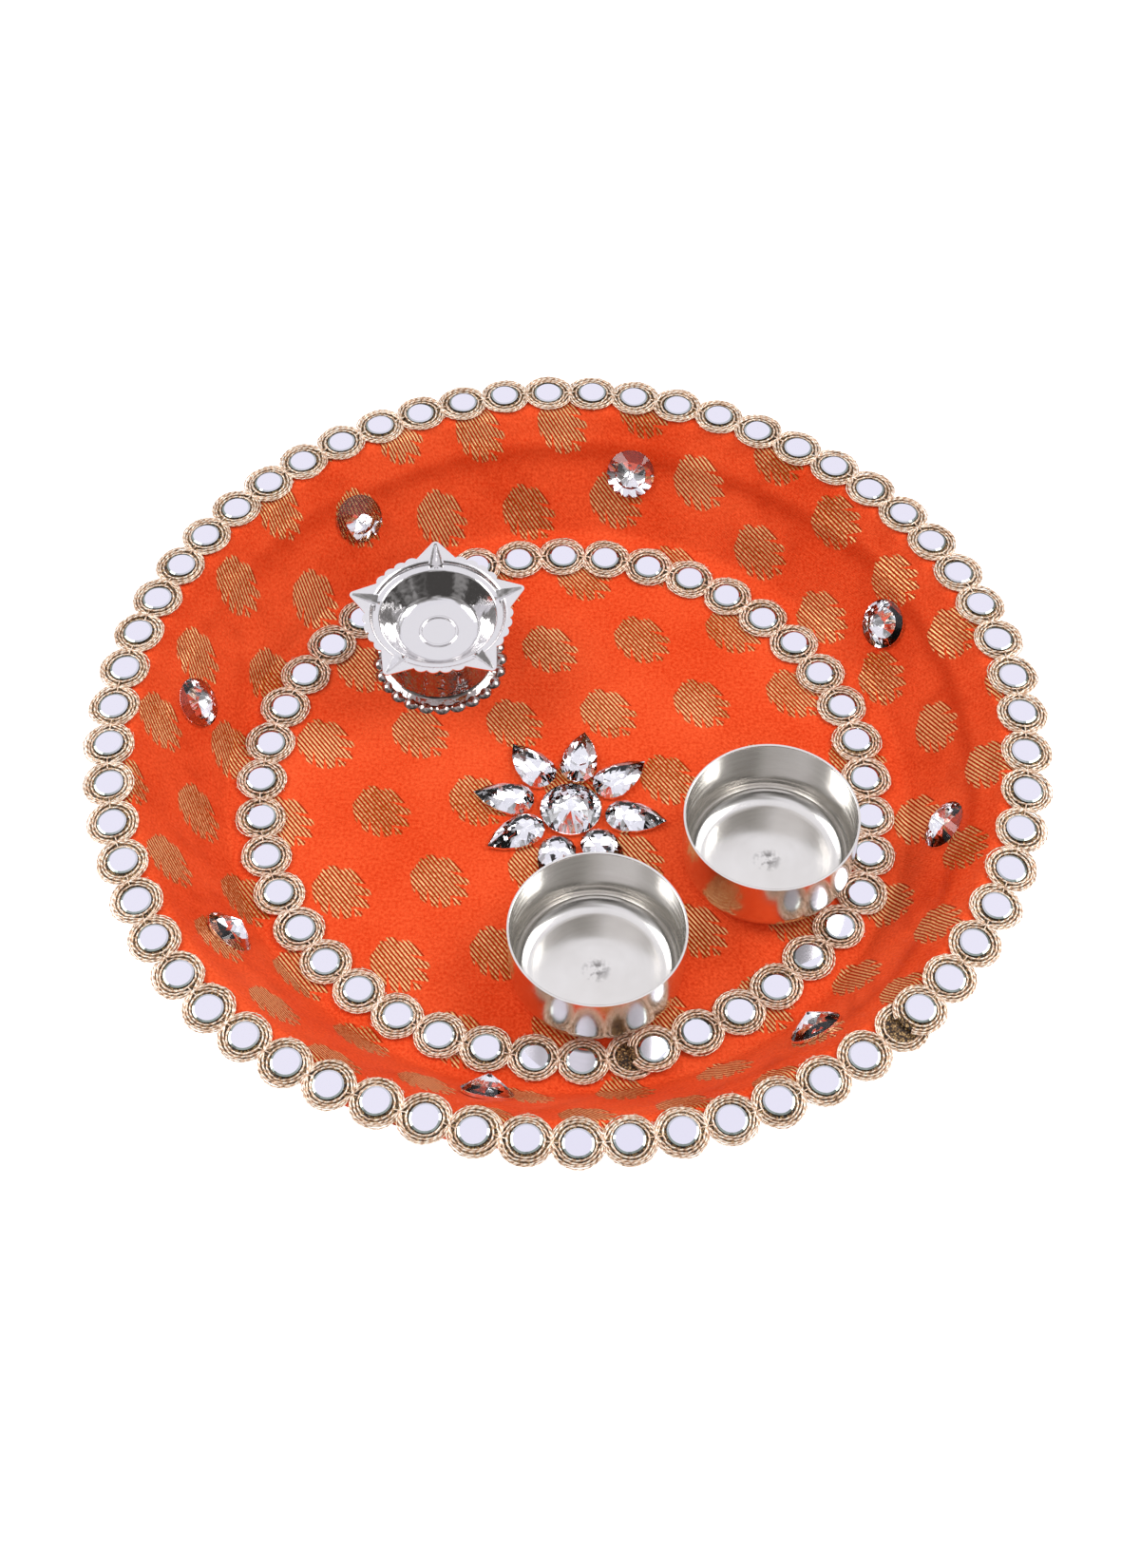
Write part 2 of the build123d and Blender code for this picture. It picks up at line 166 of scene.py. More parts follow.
def blank_material(name: str) -> tuple[Material, NodeTree, Node]:
    """Make a material that holds one principled shader.

    Args:
        name: Name of the real material.

    Returns:
        The material, its node tree and its shader.
    """
    material = bpy.data.materials.new(name)
    material.use_nodes = True
    tree = material.node_tree
    return material, tree, tree.nodes["Principled BSDF"]


def pick(*pieces: Object) -> None:
    """Leave edit mode and select these objects alone, or nothing.

    Args:
        *pieces: Objects to select; the first becomes the active one.
    """
    if bpy.context.object and bpy.context.object.mode != "OBJECT":
        bpy.ops.object.mode_set(mode="OBJECT")
    bpy.ops.object.select_all(action="DESELECT")
    for piece in pieces:
        piece.select_set(True)
    if pieces:
        bpy.context.view_layer.objects.active = pieces[0]


@contextmanager
def edit_all() -> Iterator[None]:
    """Work on the active object in edit mode, with all of it selected at first."""
    bpy.ops.object.mode_set(mode="EDIT")
    bpy.ops.mesh.select_all(action="SELECT")
    yield
    bpy.ops.object.mode_set(mode="OBJECT")


def named(name: str) -> Object:
    """Name the active object and its mesh.

    Args:
        name: Name of both.

    Returns:
        The object.
    """
    piece = bpy.context.object
    piece.name = name
    piece.data.name = name
    return piece


def apply_modifier(piece: Object, kind: str, **settings) -> None:
    """Add a modifier and apply it.

    Args:
        piece: Object that gets it.
        kind: Modifier type.
        **settings: Attributes of the modifier.
    """
    pick(piece)
    modifier = piece.modifiers.new(kind.lower(), kind)
    for name, value in settings.items():
        setattr(modifier, name, value)
    bpy.ops.object.modifier_apply(modifier=modifier.name)


def in_metres(frame: Matrix, seat: Matrix) -> Matrix:
    """Place in metres of a seat in a frame, both in millimetres."""
    return Matrix.Scale(MM, 4) @ frame @ seat @ Matrix.Scale(1 / MM, 4)


def copy_of(piece: Object, place: Matrix) -> Object:
    """Copy an object, with its own mesh, to a place.

    Args:
        piece: Object to copy.
        place: Where the copy's mesh goes.

    Returns:
        The copy, at the origin.
    """
    twin = piece.copy()
    twin.data = piece.data.copy()
    twin.data.transform(place)
    bpy.context.scene.collection.objects.link(twin)
    return twin


def joined(pieces: list[Object], name: str) -> Object:
    """Join objects into one.

    Args:
        pieces: Objects to join.
        name: Name of the result.

    Returns:
        The joined object.
    """
    pick(*pieces)
    bpy.ops.object.join()
    return named(name)


def removed(piece: Object) -> None:
    """Delete an object."""
    bpy.data.objects.remove(piece, do_unlink=True)


def low_round(
    name: str, radius: float, sides: int, rise: float, bevel: tuple[float, float], across: float = 1.0
) -> Object:
    """Model a low round with a bevelled upper edge, in millimetres.

    Args:
        name: Name of the round.
        radius: Radius of its foot.
        sides: Number of its sides.
        rise: Height of its upright edge.
        bevel: Width and height of its bevel.
        across: Share by which it is squeezed along Y.

    Returns:
        The round, on the origin.
    """
    pick()
    bpy.ops.mesh.primitive_circle_add(vertices=sides, radius=radius * MM, fill_type="NGON")
    piece = named(name)
    with edit_all():
        bpy.ops.mesh.extrude_region_move(TRANSFORM_OT_translate={"value": (0, 0, rise * MM)})
        bpy.ops.mesh.inset(thickness=bevel[0] * MM, depth=bevel[1] * MM)
        bpy.ops.mesh.select_all(action="SELECT")
        bpy.ops.transform.resize(value=(1.0, across, 1.0))
        bpy.ops.mesh.normals_make_consistent(inside=False)
    return piece


def tubes(name: str, lines: list[list[Vector]], radius: float, roundness: int) -> Object:
    """Sweep lines into tubes and make them a mesh, in millimetres.

    Args:
        name: Name of the tubes.
        lines: Points of each line.
        radius: Radius of the tubes.
        roundness: Bevel resolution of the tubes.

    Returns:
        The tubes as one mesh.
    """
    curve = bpy.data.curves.new(name, "CURVE")
    curve.dimensions = "3D"
    curve.bevel_depth = radius * MM
    curve.bevel_resolution = roundness
    for line in lines:
        spline = curve.splines.new("POLY")
        spline.points.add(len(line) - 1)
        for point, spot in zip(spline.points, line):
            point.co = (*(spot * MM), 1.0)
    swept = bpy.data.objects.new(name, curve)
    bpy.context.scene.collection.objects.link(swept)
    pick(swept)
    bpy.ops.object.convert(target="MESH")
    return bpy.context.object


def dress_node(node: Object, material: Material) -> None:
    """Give an object its finish.

    Args:
        node: CAD node or new piece.
        material: Its material.
    """
    node.data.materials.clear()
    node.data.materials.append(material)
    log.info("%s: %s, %d faces", node.name, material.name, len(node.data.polygons))


def finish_piece(piece: Object, material: Material, node: str) -> None:
    """Dress a new piece and hang it on the plate.

    Args:
        piece: Finished object.
        material: Its material.
        node: CAD node that it stands for.
    """
    dress_node(piece, material)
    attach(piece, PLATE_BODY)
    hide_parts(node)


@dataclass(frozen=True)
class SpunSteel:
    """Spun stainless steel: satin grey with fine rings left by the spinning tool."""

    colour: str = "#C9C7C4"
    cloudy: str = "#E6E4E1"
    stain: str = "#4A4644"
    ring_mm: float = 1.1
    ring_depth_mm: float = 0.08
    cloud_mm: float = 14.0
    grain_mm: float = 2.2
    stain_mm: tuple[float, float] = (0.6, 5.0)
    floor_mm: float = 1.2
    centre_mm: tuple[float, float, float] = (0.0, 0.0, 0.0)
    roughness: float = 0.26
    spread: float = 0.07
    stained: bool = False
    brushed: float = 0.0
    relief: float = 0.12

    def make(self, name: str) -> Material:
        """Make the steel, with rings about its own centre.

        Args:
            name: Name of the material.

        Returns:
            The steel.
        """
        material, tree, shader = blank_material(name)
        where = add(tree, "TexCoord").outputs["Object"]
        centre = [value * MM for value in self.centre_mm]
        local = add(tree, "Mapping", {"Vector": where, "Location": centre}, vector_type="TEXTURE")
        split = add(tree, "SeparateXYZ", [local])
        flat = add(tree, "CombineXYZ", [split.outputs[0], split.outputs[1]])
        reach = add(tree, "VectorMath", [flat], operation="LENGTH").outputs["Value"]
        height = add(tree, "Math", [split.outputs[2], 0.5], operation="MULTIPLY")
        along = add(tree, "CombineXYZ", [reach, height])
        rings = add(
            tree,
            "TexNoise",
            {"Vector": along, "Scale": per_metre(self.ring_mm), "Detail": 4.0, "Roughness": 0.7},
        )
        cloud = add(tree, "TexNoise", {"Vector": local, "Scale": per_metre(self.cloud_mm), "Detail": 3.0})
        smooth, coarse = self.roughness - self.spread, self.roughness + self.spread
        rough = add(tree, "MapRange", {0: rings, 1: 0.2, 2: 0.8, 3: smooth, 4: coarse})
        bump = add(
            tree, "Bump", {"Height": rings, "Strength": self.relief, "Distance": self.ring_depth_mm * MM}
        )
        colour = add(
            tree,
            "MixRGB",
            {"Fac": cloud, "Color1": linear(self.colour), "Color2": linear(self.cloudy)},
            blend_type="MULTIPLY",
        )
        if self.stained:
            near, far = self.stain_mm
            stain_and_shade = add(tree, "MapRange", {0: reach, 1: near * MM, 2: far * MM, 3: 1.0, 4: 0.0})
            floor = add(tree, "Math", [split.outputs[2], self.floor_mm * MM], operation="LESS_THAN")
            grain = add(
                tree, "TexNoise", {"Vector": local, "Scale": per_metre(self.grain_mm), "Detail": 5.0}
            )
            speck = add(tree, "MapRange", [grain, 0.45, 0.66])
            patch = add(tree, "Math", [stain_and_shade, speck], operation="MULTIPLY")
            spot = add(tree, "Math", [patch, floor], operation="MULTIPLY")
            colour = add(tree, "MixRGB", {"Fac": spot, "Color1": colour, "Color2": linear(self.stain)})
        lathe = add(tree, "Tangent", direction_type="RADIAL", axis="Z")
        feed(tree, shader, {"Base Color": colour, "Roughness": rough, "Normal": bump, "Tangent": lathe})
        feed(tree, shader, {"Anisotropic": self.brushed, "Metallic": 1.0})
        return material


@dataclass(frozen=True)
class BrocadeSatin:
    """Satin brocade: glossy orange-red warp with leaf buttas in floating gold thread."""

    warm: str = "#F55E32"
    deep: str = "#D63C16"
    shadow: str = "#A82000"
    gold: str = "#FCCC8E"
    bronze: str = "#AE6C2E"
    gloss: str = "#FFC9A8"
    pitch_mm: tuple[float, float] = (31.3, 29.1)
    turn_deg: float = 8.3
    leaf_mm: tuple[float, float] = (13.1, 31.7)
    leaf_half_mm: tuple[float, float] = (10.8, 8.2)
    leaf_turn_deg: float = -61.0
    ragged: float = 0.16
    finger_mm: float = 6.2
    finger_slant: float = -1.15
    finger_skew: float = 0.18
    finger_gap: float = 0.42
    thread_mm: float = 1.2
    thread_rise_mm: float = 0.12
    thread_metal: float = 0.45
    thread_rough: float = 0.38
    satin_rough: float = 0.5
    specular: float = 0.05
    twill_mm: float = 0.55
    cloud_mm: float = 38.0
    fleck_mm: float = 1.0
    glint_mm: float = 1.1
    slack_mm: float = 26.0
    slack_rise_mm: float = 3.0
    # Strength of the painted shade that the lining's folds, ripples and walls give the satin
    fold_shade_strength: float = 0.6

    def make(self) -> Material:
        """Make the brocade on the lining's own flat-cut UV map, with painted shade in its folds and
        between its gold threads, and painted glints on the threads.

        Returns:
            The brocade.
        """
        material, tree, shader = blank_material("satin brocade with gold buttas")
        cut = add(tree, "UVMap", uv_map=FLAT_CUT)
        body, mask = self.leaves(tree, cut)
        cloud = add(tree, "TexNoise", {"Vector": cut, "Scale": per_metre(self.cloud_mm), "Detail": 3.0})
        fleck = add(tree, "TexNoise", {"Vector": cut, "Scale": per_metre(self.fleck_mm), "Detail": 3.0})
        tone = add(tree, "Math", [fleck, 1.6, cloud], operation="MULTIPLY_ADD")
        shade = add(tree, "MapRange", [tone, 0.95, 1.65])
        satin = add(
            tree, "MixRGB", {"Fac": shade, "Color1": linear(self.deep), "Color2": linear(self.warm)}
        )
        # Painted shade: the satin darkens towards the shadow colour where the lining's attribute marks
        # the walls, their fold and the ripples' slopes
        crease = add(tree, "Attribute", attribute_name=PAINTED_FOLD_SHADE).outputs["Fac"]
        dim = add(tree, "Math", [crease, self.fold_shade_strength], operation="MULTIPLY")
        stain_and_shade = add(tree, "MixRGB", {"Fac": dim, "Color1": satin, "Color2": linear(self.shadow)})
        # Painted reflection: fine glint noise and the slow cloud turn the gold threads between bronze and
        # gold, as light and dark reflected in the metal thread
        glint = add(tree, "TexNoise", {"Vector": cut, "Scale": per_metre(self.glint_mm), "Detail": 1.0})
        slow = add(tree, "Math", [cloud, 1.2, glint], operation="MULTIPLY_ADD")
        sparkle = add(tree, "MapRange", [slow, 0.85, 1.25])
        thread = add(
            tree, "MixRGB", {"Fac": sparkle, "Color1": linear(self.bronze), "Color2": linear(self.gold)}
        )
        # Painted shade: inside a leaf, the ground between the gold threads takes the shadow colour
        shaded_ground = add(tree, "MixRGB", {"Fac": body, "Color1": stain_and_shade, "Color2": linear(self.shadow)})
        cloth = add(tree, "MixRGB", {"Fac": mask, "Color1": shaded_ground, "Color2": thread})
        metal = add(tree, "Math", [mask, self.thread_metal], operation="MULTIPLY")
        rough = add(tree, "MapRange", {0: mask, 3: self.satin_rough, 4: self.thread_rough})
        # Twill lines are drawn coarser than the real weave so that they show
        lines = add(
            tree,
            "TexWave",
            {"Vector": cut, "Scale": WAVE_HALF / (self.twill_mm * MM), "Distortion": 1.0, "Detail": 1.0},
            bands_direction="DIAGONAL",
        )
        relief = add(tree, "Math", [mask, 1.6, lines.outputs["Fac"]], operation="MULTIPLY_ADD")
        slack = add(
            tree,
            "TexNoise",
            {"Vector": cut, "Scale": per_metre(self.slack_mm), "Detail": 2.0, "Distortion": 0.6},
        )
        folds = add(
            tree, "Bump", {"Height": slack, "Strength": 0.6, "Distance": self.slack_rise_mm * MM}
        )
        rise = self.thread_rise_mm * MM
        bump = add(tree, "Bump", {"Height": relief, "Strength": 0.4, "Distance": rise, "Normal": folds})
        feed(tree, shader, {"Base Color": cloth, "Metallic": metal, "Roughness": rough, "Normal": bump})
        feed(tree, shader, {"Specular IOR Level": self.specular, "Specular Tint": linear(self.gloss)})
        return material

    def leaves(
        self, tree: NodeTree, cut: Node
    ) -> tuple[Node, Node]:
        """Masks of the leaf buttas on their half-drop lattice.

        Args:
            tree: Node tree of the brocade.
            cut: Flat-cut coordinates in metres.

        Returns:
            Node that is 1 inside a leaf, and one that is 1 on a gold thread of it.
        """
        place = [self.leaf_mm[0] * MM, self.leaf_mm[1] * MM, 0.0]
        scale = [self.pitch_mm[0] * MM, self.pitch_mm[1] * MM, 1.0]
        turn = [0.0, 0.0, math.radians(self.turn_deg)]
        lattice = add(
            tree,
            "Mapping",
            {"Vector": cut, "Location": place, "Rotation": turn, "Scale": scale},
            vector_type="TEXTURE",
        )
        cell = add(tree, "SeparateXYZ", [lattice])
        lifted = add(tree, "Math", [cell.outputs[1], 0.5], operation="ADD")
        row = add(tree, "Math", [lifted], operation="FLOOR")
        drop = add(tree, "Math", [row, 0.5, 0.5], operation="MULTIPLY_ADD")
        shifted = add(tree, "Math", [cell.outputs[0], drop], operation="ADD")
        across = add(tree, "Math", [shifted], operation="FRACT")
        x_share = add(tree, "Math", [across, 0.5], operation="SUBTRACT")
        y_share = add(tree, "Math", [cell.outputs[1], row], operation="SUBTRACT")
        local = add(tree, "CombineXYZ", [x_share, y_share])
        leaf = add(tree, "VectorMath", {0: local, 1: (*self.pitch_mm, 1.0)}, operation="MULTIPLY")
        tilt = [0.0, 0.0, math.radians(self.leaf_turn_deg)]
        axis = add(tree, "Mapping", {"Vector": leaf, "Rotation": tilt}, vector_type="TEXTURE")
        unit = add(tree, "VectorMath", {0: axis, 1: (*self.leaf_half_mm, 1.0)}, operation="DIVIDE")
        reach = add(tree, "VectorMath", [unit], operation="LENGTH").outputs["Value"]
        spot = add(tree, "SeparateXYZ", [axis])
        # Gold threads are drawn coarser than the real ones so that they show
        count = add(tree, "Math", [spot.outputs[1], self.thread_mm], operation="DIVIDE")
        number = add(tree, "Math", [count], operation="FLOOR")
        jag = add(tree, "TexWhiteNoise", {"W": number}, noise_dimensions="1D")
        edge = add(
            tree, "Math", [jag, self.ragged, 1 - self.ragged / 2], operation="MULTIPLY_ADD"
        )
        inside = add(tree, "Math", [edge, reach], operation="SUBTRACT")
        whole = add(tree, "MapRange", [inside, -0.02, 0.03])
        # Fingers lie along the leaf and part from it towards its tip
        aside = add(tree, "Math", [spot.outputs[1]], operation="ABSOLUTE")
        slant = add(
            tree, "Math", [aside, self.finger_slant, spot.outputs[0]], operation="MULTIPLY_ADD"
        )
        skew = add(
            tree, "Math", [spot.outputs[1], self.finger_skew, slant], operation="MULTIPLY_ADD"
        )
        fingers = add(tree, "Math", [skew, self.finger_mm], operation="DIVIDE")
        part = add(tree, "Math", [fingers], operation="FRACT")
        room = add(tree, "MapRange", {0: reach, 1: 0.5, 2: 1.0, 3: 0.0, 4: self.finger_gap})
        ahead = add(tree, "MapRange", [spot.outputs[0], -3.0, 0.5])
        slit = add(tree, "Math", [room, ahead], operation="MULTIPLY")
        solid = add(tree, "Math", [part, slit], operation="GREATER_THAN")
        body = add(tree, "Math", [whole, solid], operation="MULTIPLY")
        phase = add(tree, "Math", [count, math.tau], operation="MULTIPLY")
        wave = add(tree, "Math", [phase], operation="SINE")
        line = add(tree, "MapRange", [wave, -0.4, 0.6])
        mask = add(tree, "Math", [body, line], operation="MULTIPLY")
        return body, mask


@dataclass(frozen=True)
class ZariCord:
    """Zari cord: flat metallic yarn twisted in two plies, gold-tan, with painted shade along its twist
    and painted highlights on its plies.
    """

    light: str = "#FFF2E0"
    mid: str = "#D8B090"
    dark: str = "#3A200E"
    twist_mm: float = 2.2
    fray_mm: float = 0.8
    cloud_mm: float = 6.0
    level: tuple[float, float] = (0.38, 0.8)
    fray_share: float = 1.3
    cloud_share: float = 0.4
    rise_mm: float = 0.14
    metallic: float = 0.55
    roughness: float = 0.3

    def make(self) -> Material:
        """Make the cord, its twist painted along the cord's own UV map as shade in its grooves and
        highlights on its plies.

        Returns:
            The cord's material.
        """
        material, tree, shader = blank_material("twisted zari cord")
        run = add(tree, "UVMap", uv_map=CORD_RUN)
        split = add(tree, "SeparateXYZ", [run])
        turns = add(tree, "Math", [split.outputs[0], per_metre(self.twist_mm)], operation="MULTIPLY")
        spiral = add(tree, "Math", [turns, split.outputs[1]], operation="ADD")
        phase = add(tree, "Math", [spiral, math.tau], operation="MULTIPLY")
        ply = add(tree, "Math", [phase], operation="SINE")
        where = add(tree, "TexCoord").outputs["Object"]
        fray = add(tree, "TexNoise", {"Vector": where, "Scale": per_metre(self.fray_mm), "Detail": 4.0})
        cloud = add(tree, "TexNoise", {"Vector": where, "Scale": per_metre(self.cloud_mm)})
        # Painted light: along the twist the colour runs from dark shade in the grooves to light
        # highlights on the plies; fray and cloud noise make it uneven
        level = add(tree, "MapRange", {0: ply, 1: -1.0, 2: 1.0, 3: self.level[0], 4: self.level[1]})
        rough = add(
            tree, "Math", [fray, self.fray_share, -self.fray_share / 2], operation="MULTIPLY_ADD"
        )
        tone = add(tree, "Math", [level, rough], operation="ADD")
        patch = add(
            tree, "Math", [cloud, self.cloud_share, -self.cloud_share / 2], operation="MULTIPLY_ADD"
        )
        shade = add(tree, "Math", [tone, patch], operation="ADD")
        stops = ((0.05, self.dark), (0.45, self.mid), (0.85, self.light))
        colour = add(tree, "ValToRGB", {"Fac": shade}, stops)
        height = add(tree, "Math", [ply, 0.5, fray], operation="MULTIPLY_ADD")
        bump = add(tree, "Bump", {"Height": height, "Strength": 0.7, "Distance": self.rise_mm * MM})
        feed(tree, shader, {"Base Color": colour, "Normal": bump})
        feed(tree, shader, {"Metallic": self.metallic, "Roughness": self.roughness})
        return material


@dataclass(frozen=True)
class NetTape:
    """Tinsel net under the mirrors: dense gold loops that read as a sparkling grain."""

    light: str = "#D8B880"
    mid: str = "#7A5A34"
    dark: str = "#26180C"
    loop_mm: float = 0.7
    loop_rise_mm: float = 0.25
    glint_mm: float = 0.6
    metallic: float = 0.35
    roughness: float = 0.42

    def make(self) -> Material:
        """Make the net, its loops drawn as fine cells, with painted glints and painted shade towards the
        loops' sunken edges.

        Returns:
            The net's material.
        """
        material, tree, shader = blank_material("gold tinsel net")
        where = add(tree, "TexCoord").outputs["Object"]
        loops = add(tree, "TexVoronoi", {"Vector": where, "Scale": per_metre(self.loop_mm)})
        glint = add(tree, "TexNoise", {"Vector": where, "Scale": per_metre(self.glint_mm), "Detail": 3.0})
        # Painted light: the glint noise paints sparkle, and each loop is painted darker towards its
        # sunken edge as shade
        tone = add(tree, "Math", [glint, 1.1, -0.15], operation="MULTIPLY_ADD")
        depth = add(tree, "Math", [tone, loops], operation="SUBTRACT")
        shade = add(tree, "Math", [depth, 0.4], operation="ADD")
        stops = ((0.1, self.dark), (0.45, self.mid), (0.8, self.light))
        colour = add(tree, "ValToRGB", {"Fac": shade}, stops)
        rise = self.loop_rise_mm * MM
        bump = add(tree, "Bump", {"Height": loops, "Strength": 0.8, "Distance": rise}, invert=True)
        feed(tree, shader, {"Base Color": colour, "Normal": bump})
        feed(tree, shader, {"Metallic": self.metallic, "Roughness": self.roughness})
        return material


@dataclass(frozen=True)
class MirrorGlass:
    """Silvered sheet glass, cut by hand: clean cool reflection with faint handling marks."""

    colour: str = "#F0EEF8"
    edge: str = "#9AA49C"
    dust_mm: float = 5.0
    roughness: tuple[float, float] = (0.02, 0.08)
    level: tuple[float, float] = (0.94, 0.985)

    def make(self) -> Material:
        """Make the mirror, its cut edge darker and greener, with a trace of dust in its gloss.

        Returns:
            The mirror's material.
        """
        material, tree, shader = blank_material("silvered mirror glass")
        where = add(tree, "TexCoord").outputs["Object"]
        dust = add(tree, "TexNoise", {"Vector": where, "Scale": per_metre(self.dust_mm), "Detail": 4.0})
        clean, dusty = self.roughness
        rough = add(tree, "MapRange", {0: dust, 1: 0.3, 2: 0.8, 3: clean, 4: dusty})
        shape = add(tree, "NewGeometry").outputs["True Normal"]
        way = add(tree, "SeparateXYZ", [shape]).outputs[2]
        bevel = add(tree, "MapRange", {0: way, 1: self.level[0], 2: self.level[1], 3: 1.0, 4: 0.0})
        tone = add(
            tree, "MixRGB", {"Fac": bevel, "Color1": linear(self.colour), "Color2": linear(self.edge)}
        )
        feed(tree, shader, {"Base Color": tone, "Roughness": rough, "Metallic": 1.0})
        return material


@dataclass(frozen=True)
class FoiledCrystal:
    """Moulded clear acrylic stone: its faceted back is foiled, which sends the light back in wedges."""

    name: str
    frame: Matrix
    inner_mm: float
    facets: int = 8
    lean: float = 0.24
    outer: float = 1.0
    foil_mm: float = 1.0
    cloud_mm: float = 4.0
    colour: str = "#FAFAFC"
    ior: float = 1.54

    def make(self) -> Material:
        """Make the stone clear above its foil, in the stone's own frame.

        Returns:
            The stone's material.
        """
        material, tree, shader = blank_material(self.name)
        where = add(tree, "TexCoord").outputs["Object"]
        place, turn = self.frame.translation * MM, self.frame.to_euler()
        local = add(
            tree, "Mapping", {"Vector": where, "Location": place, "Rotation": turn}, vector_type="TEXTURE"
        )
        spot = add(tree, "SeparateXYZ", [local])
        foil = add(tree, "Math", [spot.outputs[2], self.foil_mm * MM], operation="LESS_THAN")
        clear = add(tree, "Math", [1.0, foil], operation="SUBTRACT")
        flat = add(tree, "CombineXYZ", [spot.outputs[0], spot.outputs[1]])
        reach = add(tree, "VectorMath", [flat], operation="LENGTH").outputs["Value"]
        angle = add(tree, "Math", [spot.outputs[1], spot.outputs[0]], operation="ARCTAN2")
        # The outer ring has twice the facets of the inner one, and its own slope
        outer = add(tree, "Math", [reach, self.inner_mm * MM], operation="GREATER_THAN")
        steep = add(tree, "Math", [outer, self.outer - 1.0, 1.0], operation="MULTIPLY_ADD")
        count = add(tree, "Math", [outer, self.facets, self.facets], operation="MULTIPLY_ADD")
        width = add(tree, "Math", [math.tau, count], operation="DIVIDE")
        share = add(tree, "Math", [angle, width], operation="DIVIDE")
        cell = add(tree, "Math", [share], operation="FLOOR")
        middle = add(tree, "Math", [cell, 0.5], operation="ADD")
        axis = add(tree, "Math", [middle, width], operation="MULTIPLY")
        away = add(tree, "Math", [angle, axis], operation="SUBTRACT")
        face = add(tree, "Math", [away], operation="COSINE")
        rise = add(tree, "Math", [face, reach], operation="MULTIPLY")
        tilt = add(tree, "Math", [rise, steep], operation="MULTIPLY")
        height = add(tree, "Math", [tilt, foil], operation="MULTIPLY")
        bump = add(tree, "Bump", {"Height": height, "Strength": 1.0, "Distance": self.lean})
        cloud = add(tree, "TexNoise", {"Vector": where, "Scale": per_metre(self.cloud_mm)})
        rough = add(tree, "MapRange", {0: cloud, 3: 0.0, 4: 0.04})
        feed(tree, shader, {"Metallic": foil, "Transmission Weight": clear, "Roughness": rough})
        feed(tree, shader, {"Normal": bump, "Base Color": linear(self.colour), "IOR": self.ior})
        return material


@dataclass(frozen=True)
class HotGlue:
    """Set hot glue: cloudy, slightly yellow, soft gloss."""

    colour: str = "#E9D9C6"
    cloud_mm: float = 2.0
    roughness: tuple[float, float] = (0.25, 0.45)
    clear: float = 0.5

    def make(self) -> Material:
        """Make the glue.

        Returns:
            The glue's material.
        """
        material, tree, shader = blank_material("set hot glue")
        where = add(tree, "TexCoord").outputs["Object"]
        cloud = add(tree, "TexNoise", {"Vector": where, "Scale": per_metre(self.cloud_mm)})
        rough = add(tree, "MapRange", {0: cloud, 3: self.roughness[0], 4: self.roughness[1]})
        colour = linear(self.colour)
        feed(tree, shader, {"Roughness": rough, "Base Color": colour, "Transmission Weight": self.clear})
        return material


@dataclass(frozen=True)
class PressedSilver:
    """Silver-plated thin sheet, pressed: very bright, with slight waves left by the die."""

    colour: str = "#E6E4E4"
    wave_mm: float = 6.0
    wave_rise_mm: float = 0.6
    speck_mm: float = 0.9
    roughness: tuple[float, float] = (0.05, 0.16)
    flange_mm: tuple[float, float] = (26.9, 27.2)
    flange_dull: float = 0.22

    def make(self, name: str) -> Material:
        """Make the bright sheet, duller on the handled flange.

        Args:
            name: Name of the material.

        Returns:
            The sheet's material.
        """
        material, tree, shader = blank_material(name)
        where = add(tree, "TexCoord").outputs["Object"]
        waves = add(tree, "TexNoise", {"Vector": where, "Scale": per_metre(self.wave_mm), "Detail": 2.0})
        speck = add(tree, "TexNoise", {"Vector": where, "Scale": per_metre(self.speck_mm), "Detail": 4.0})
        bright, dull = self.roughness
        rough = add(tree, "MapRange", {0: speck, 1: 0.35, 2: 0.75, 3: bright, 4: dull})
        bump = add(tree, "Bump", {"Height": waves, "Strength": 0.4, "Distance": self.wave_rise_mm * MM})
        height = add(tree, "SeparateXYZ", [where]).outputs[2]
        low, high = self.flange_mm
        lip = add(tree, "MapRange", {0: height, 1: low * MM, 2: high * MM, 4: self.flange_dull})
        satin = add(tree, "Math", [rough, lip], operation="ADD")
        feed(tree, shader, {"Roughness": satin, "Normal": bump})
        feed(tree, shader, {"Base Color": linear(self.colour), "Metallic": 1.0})
        return material


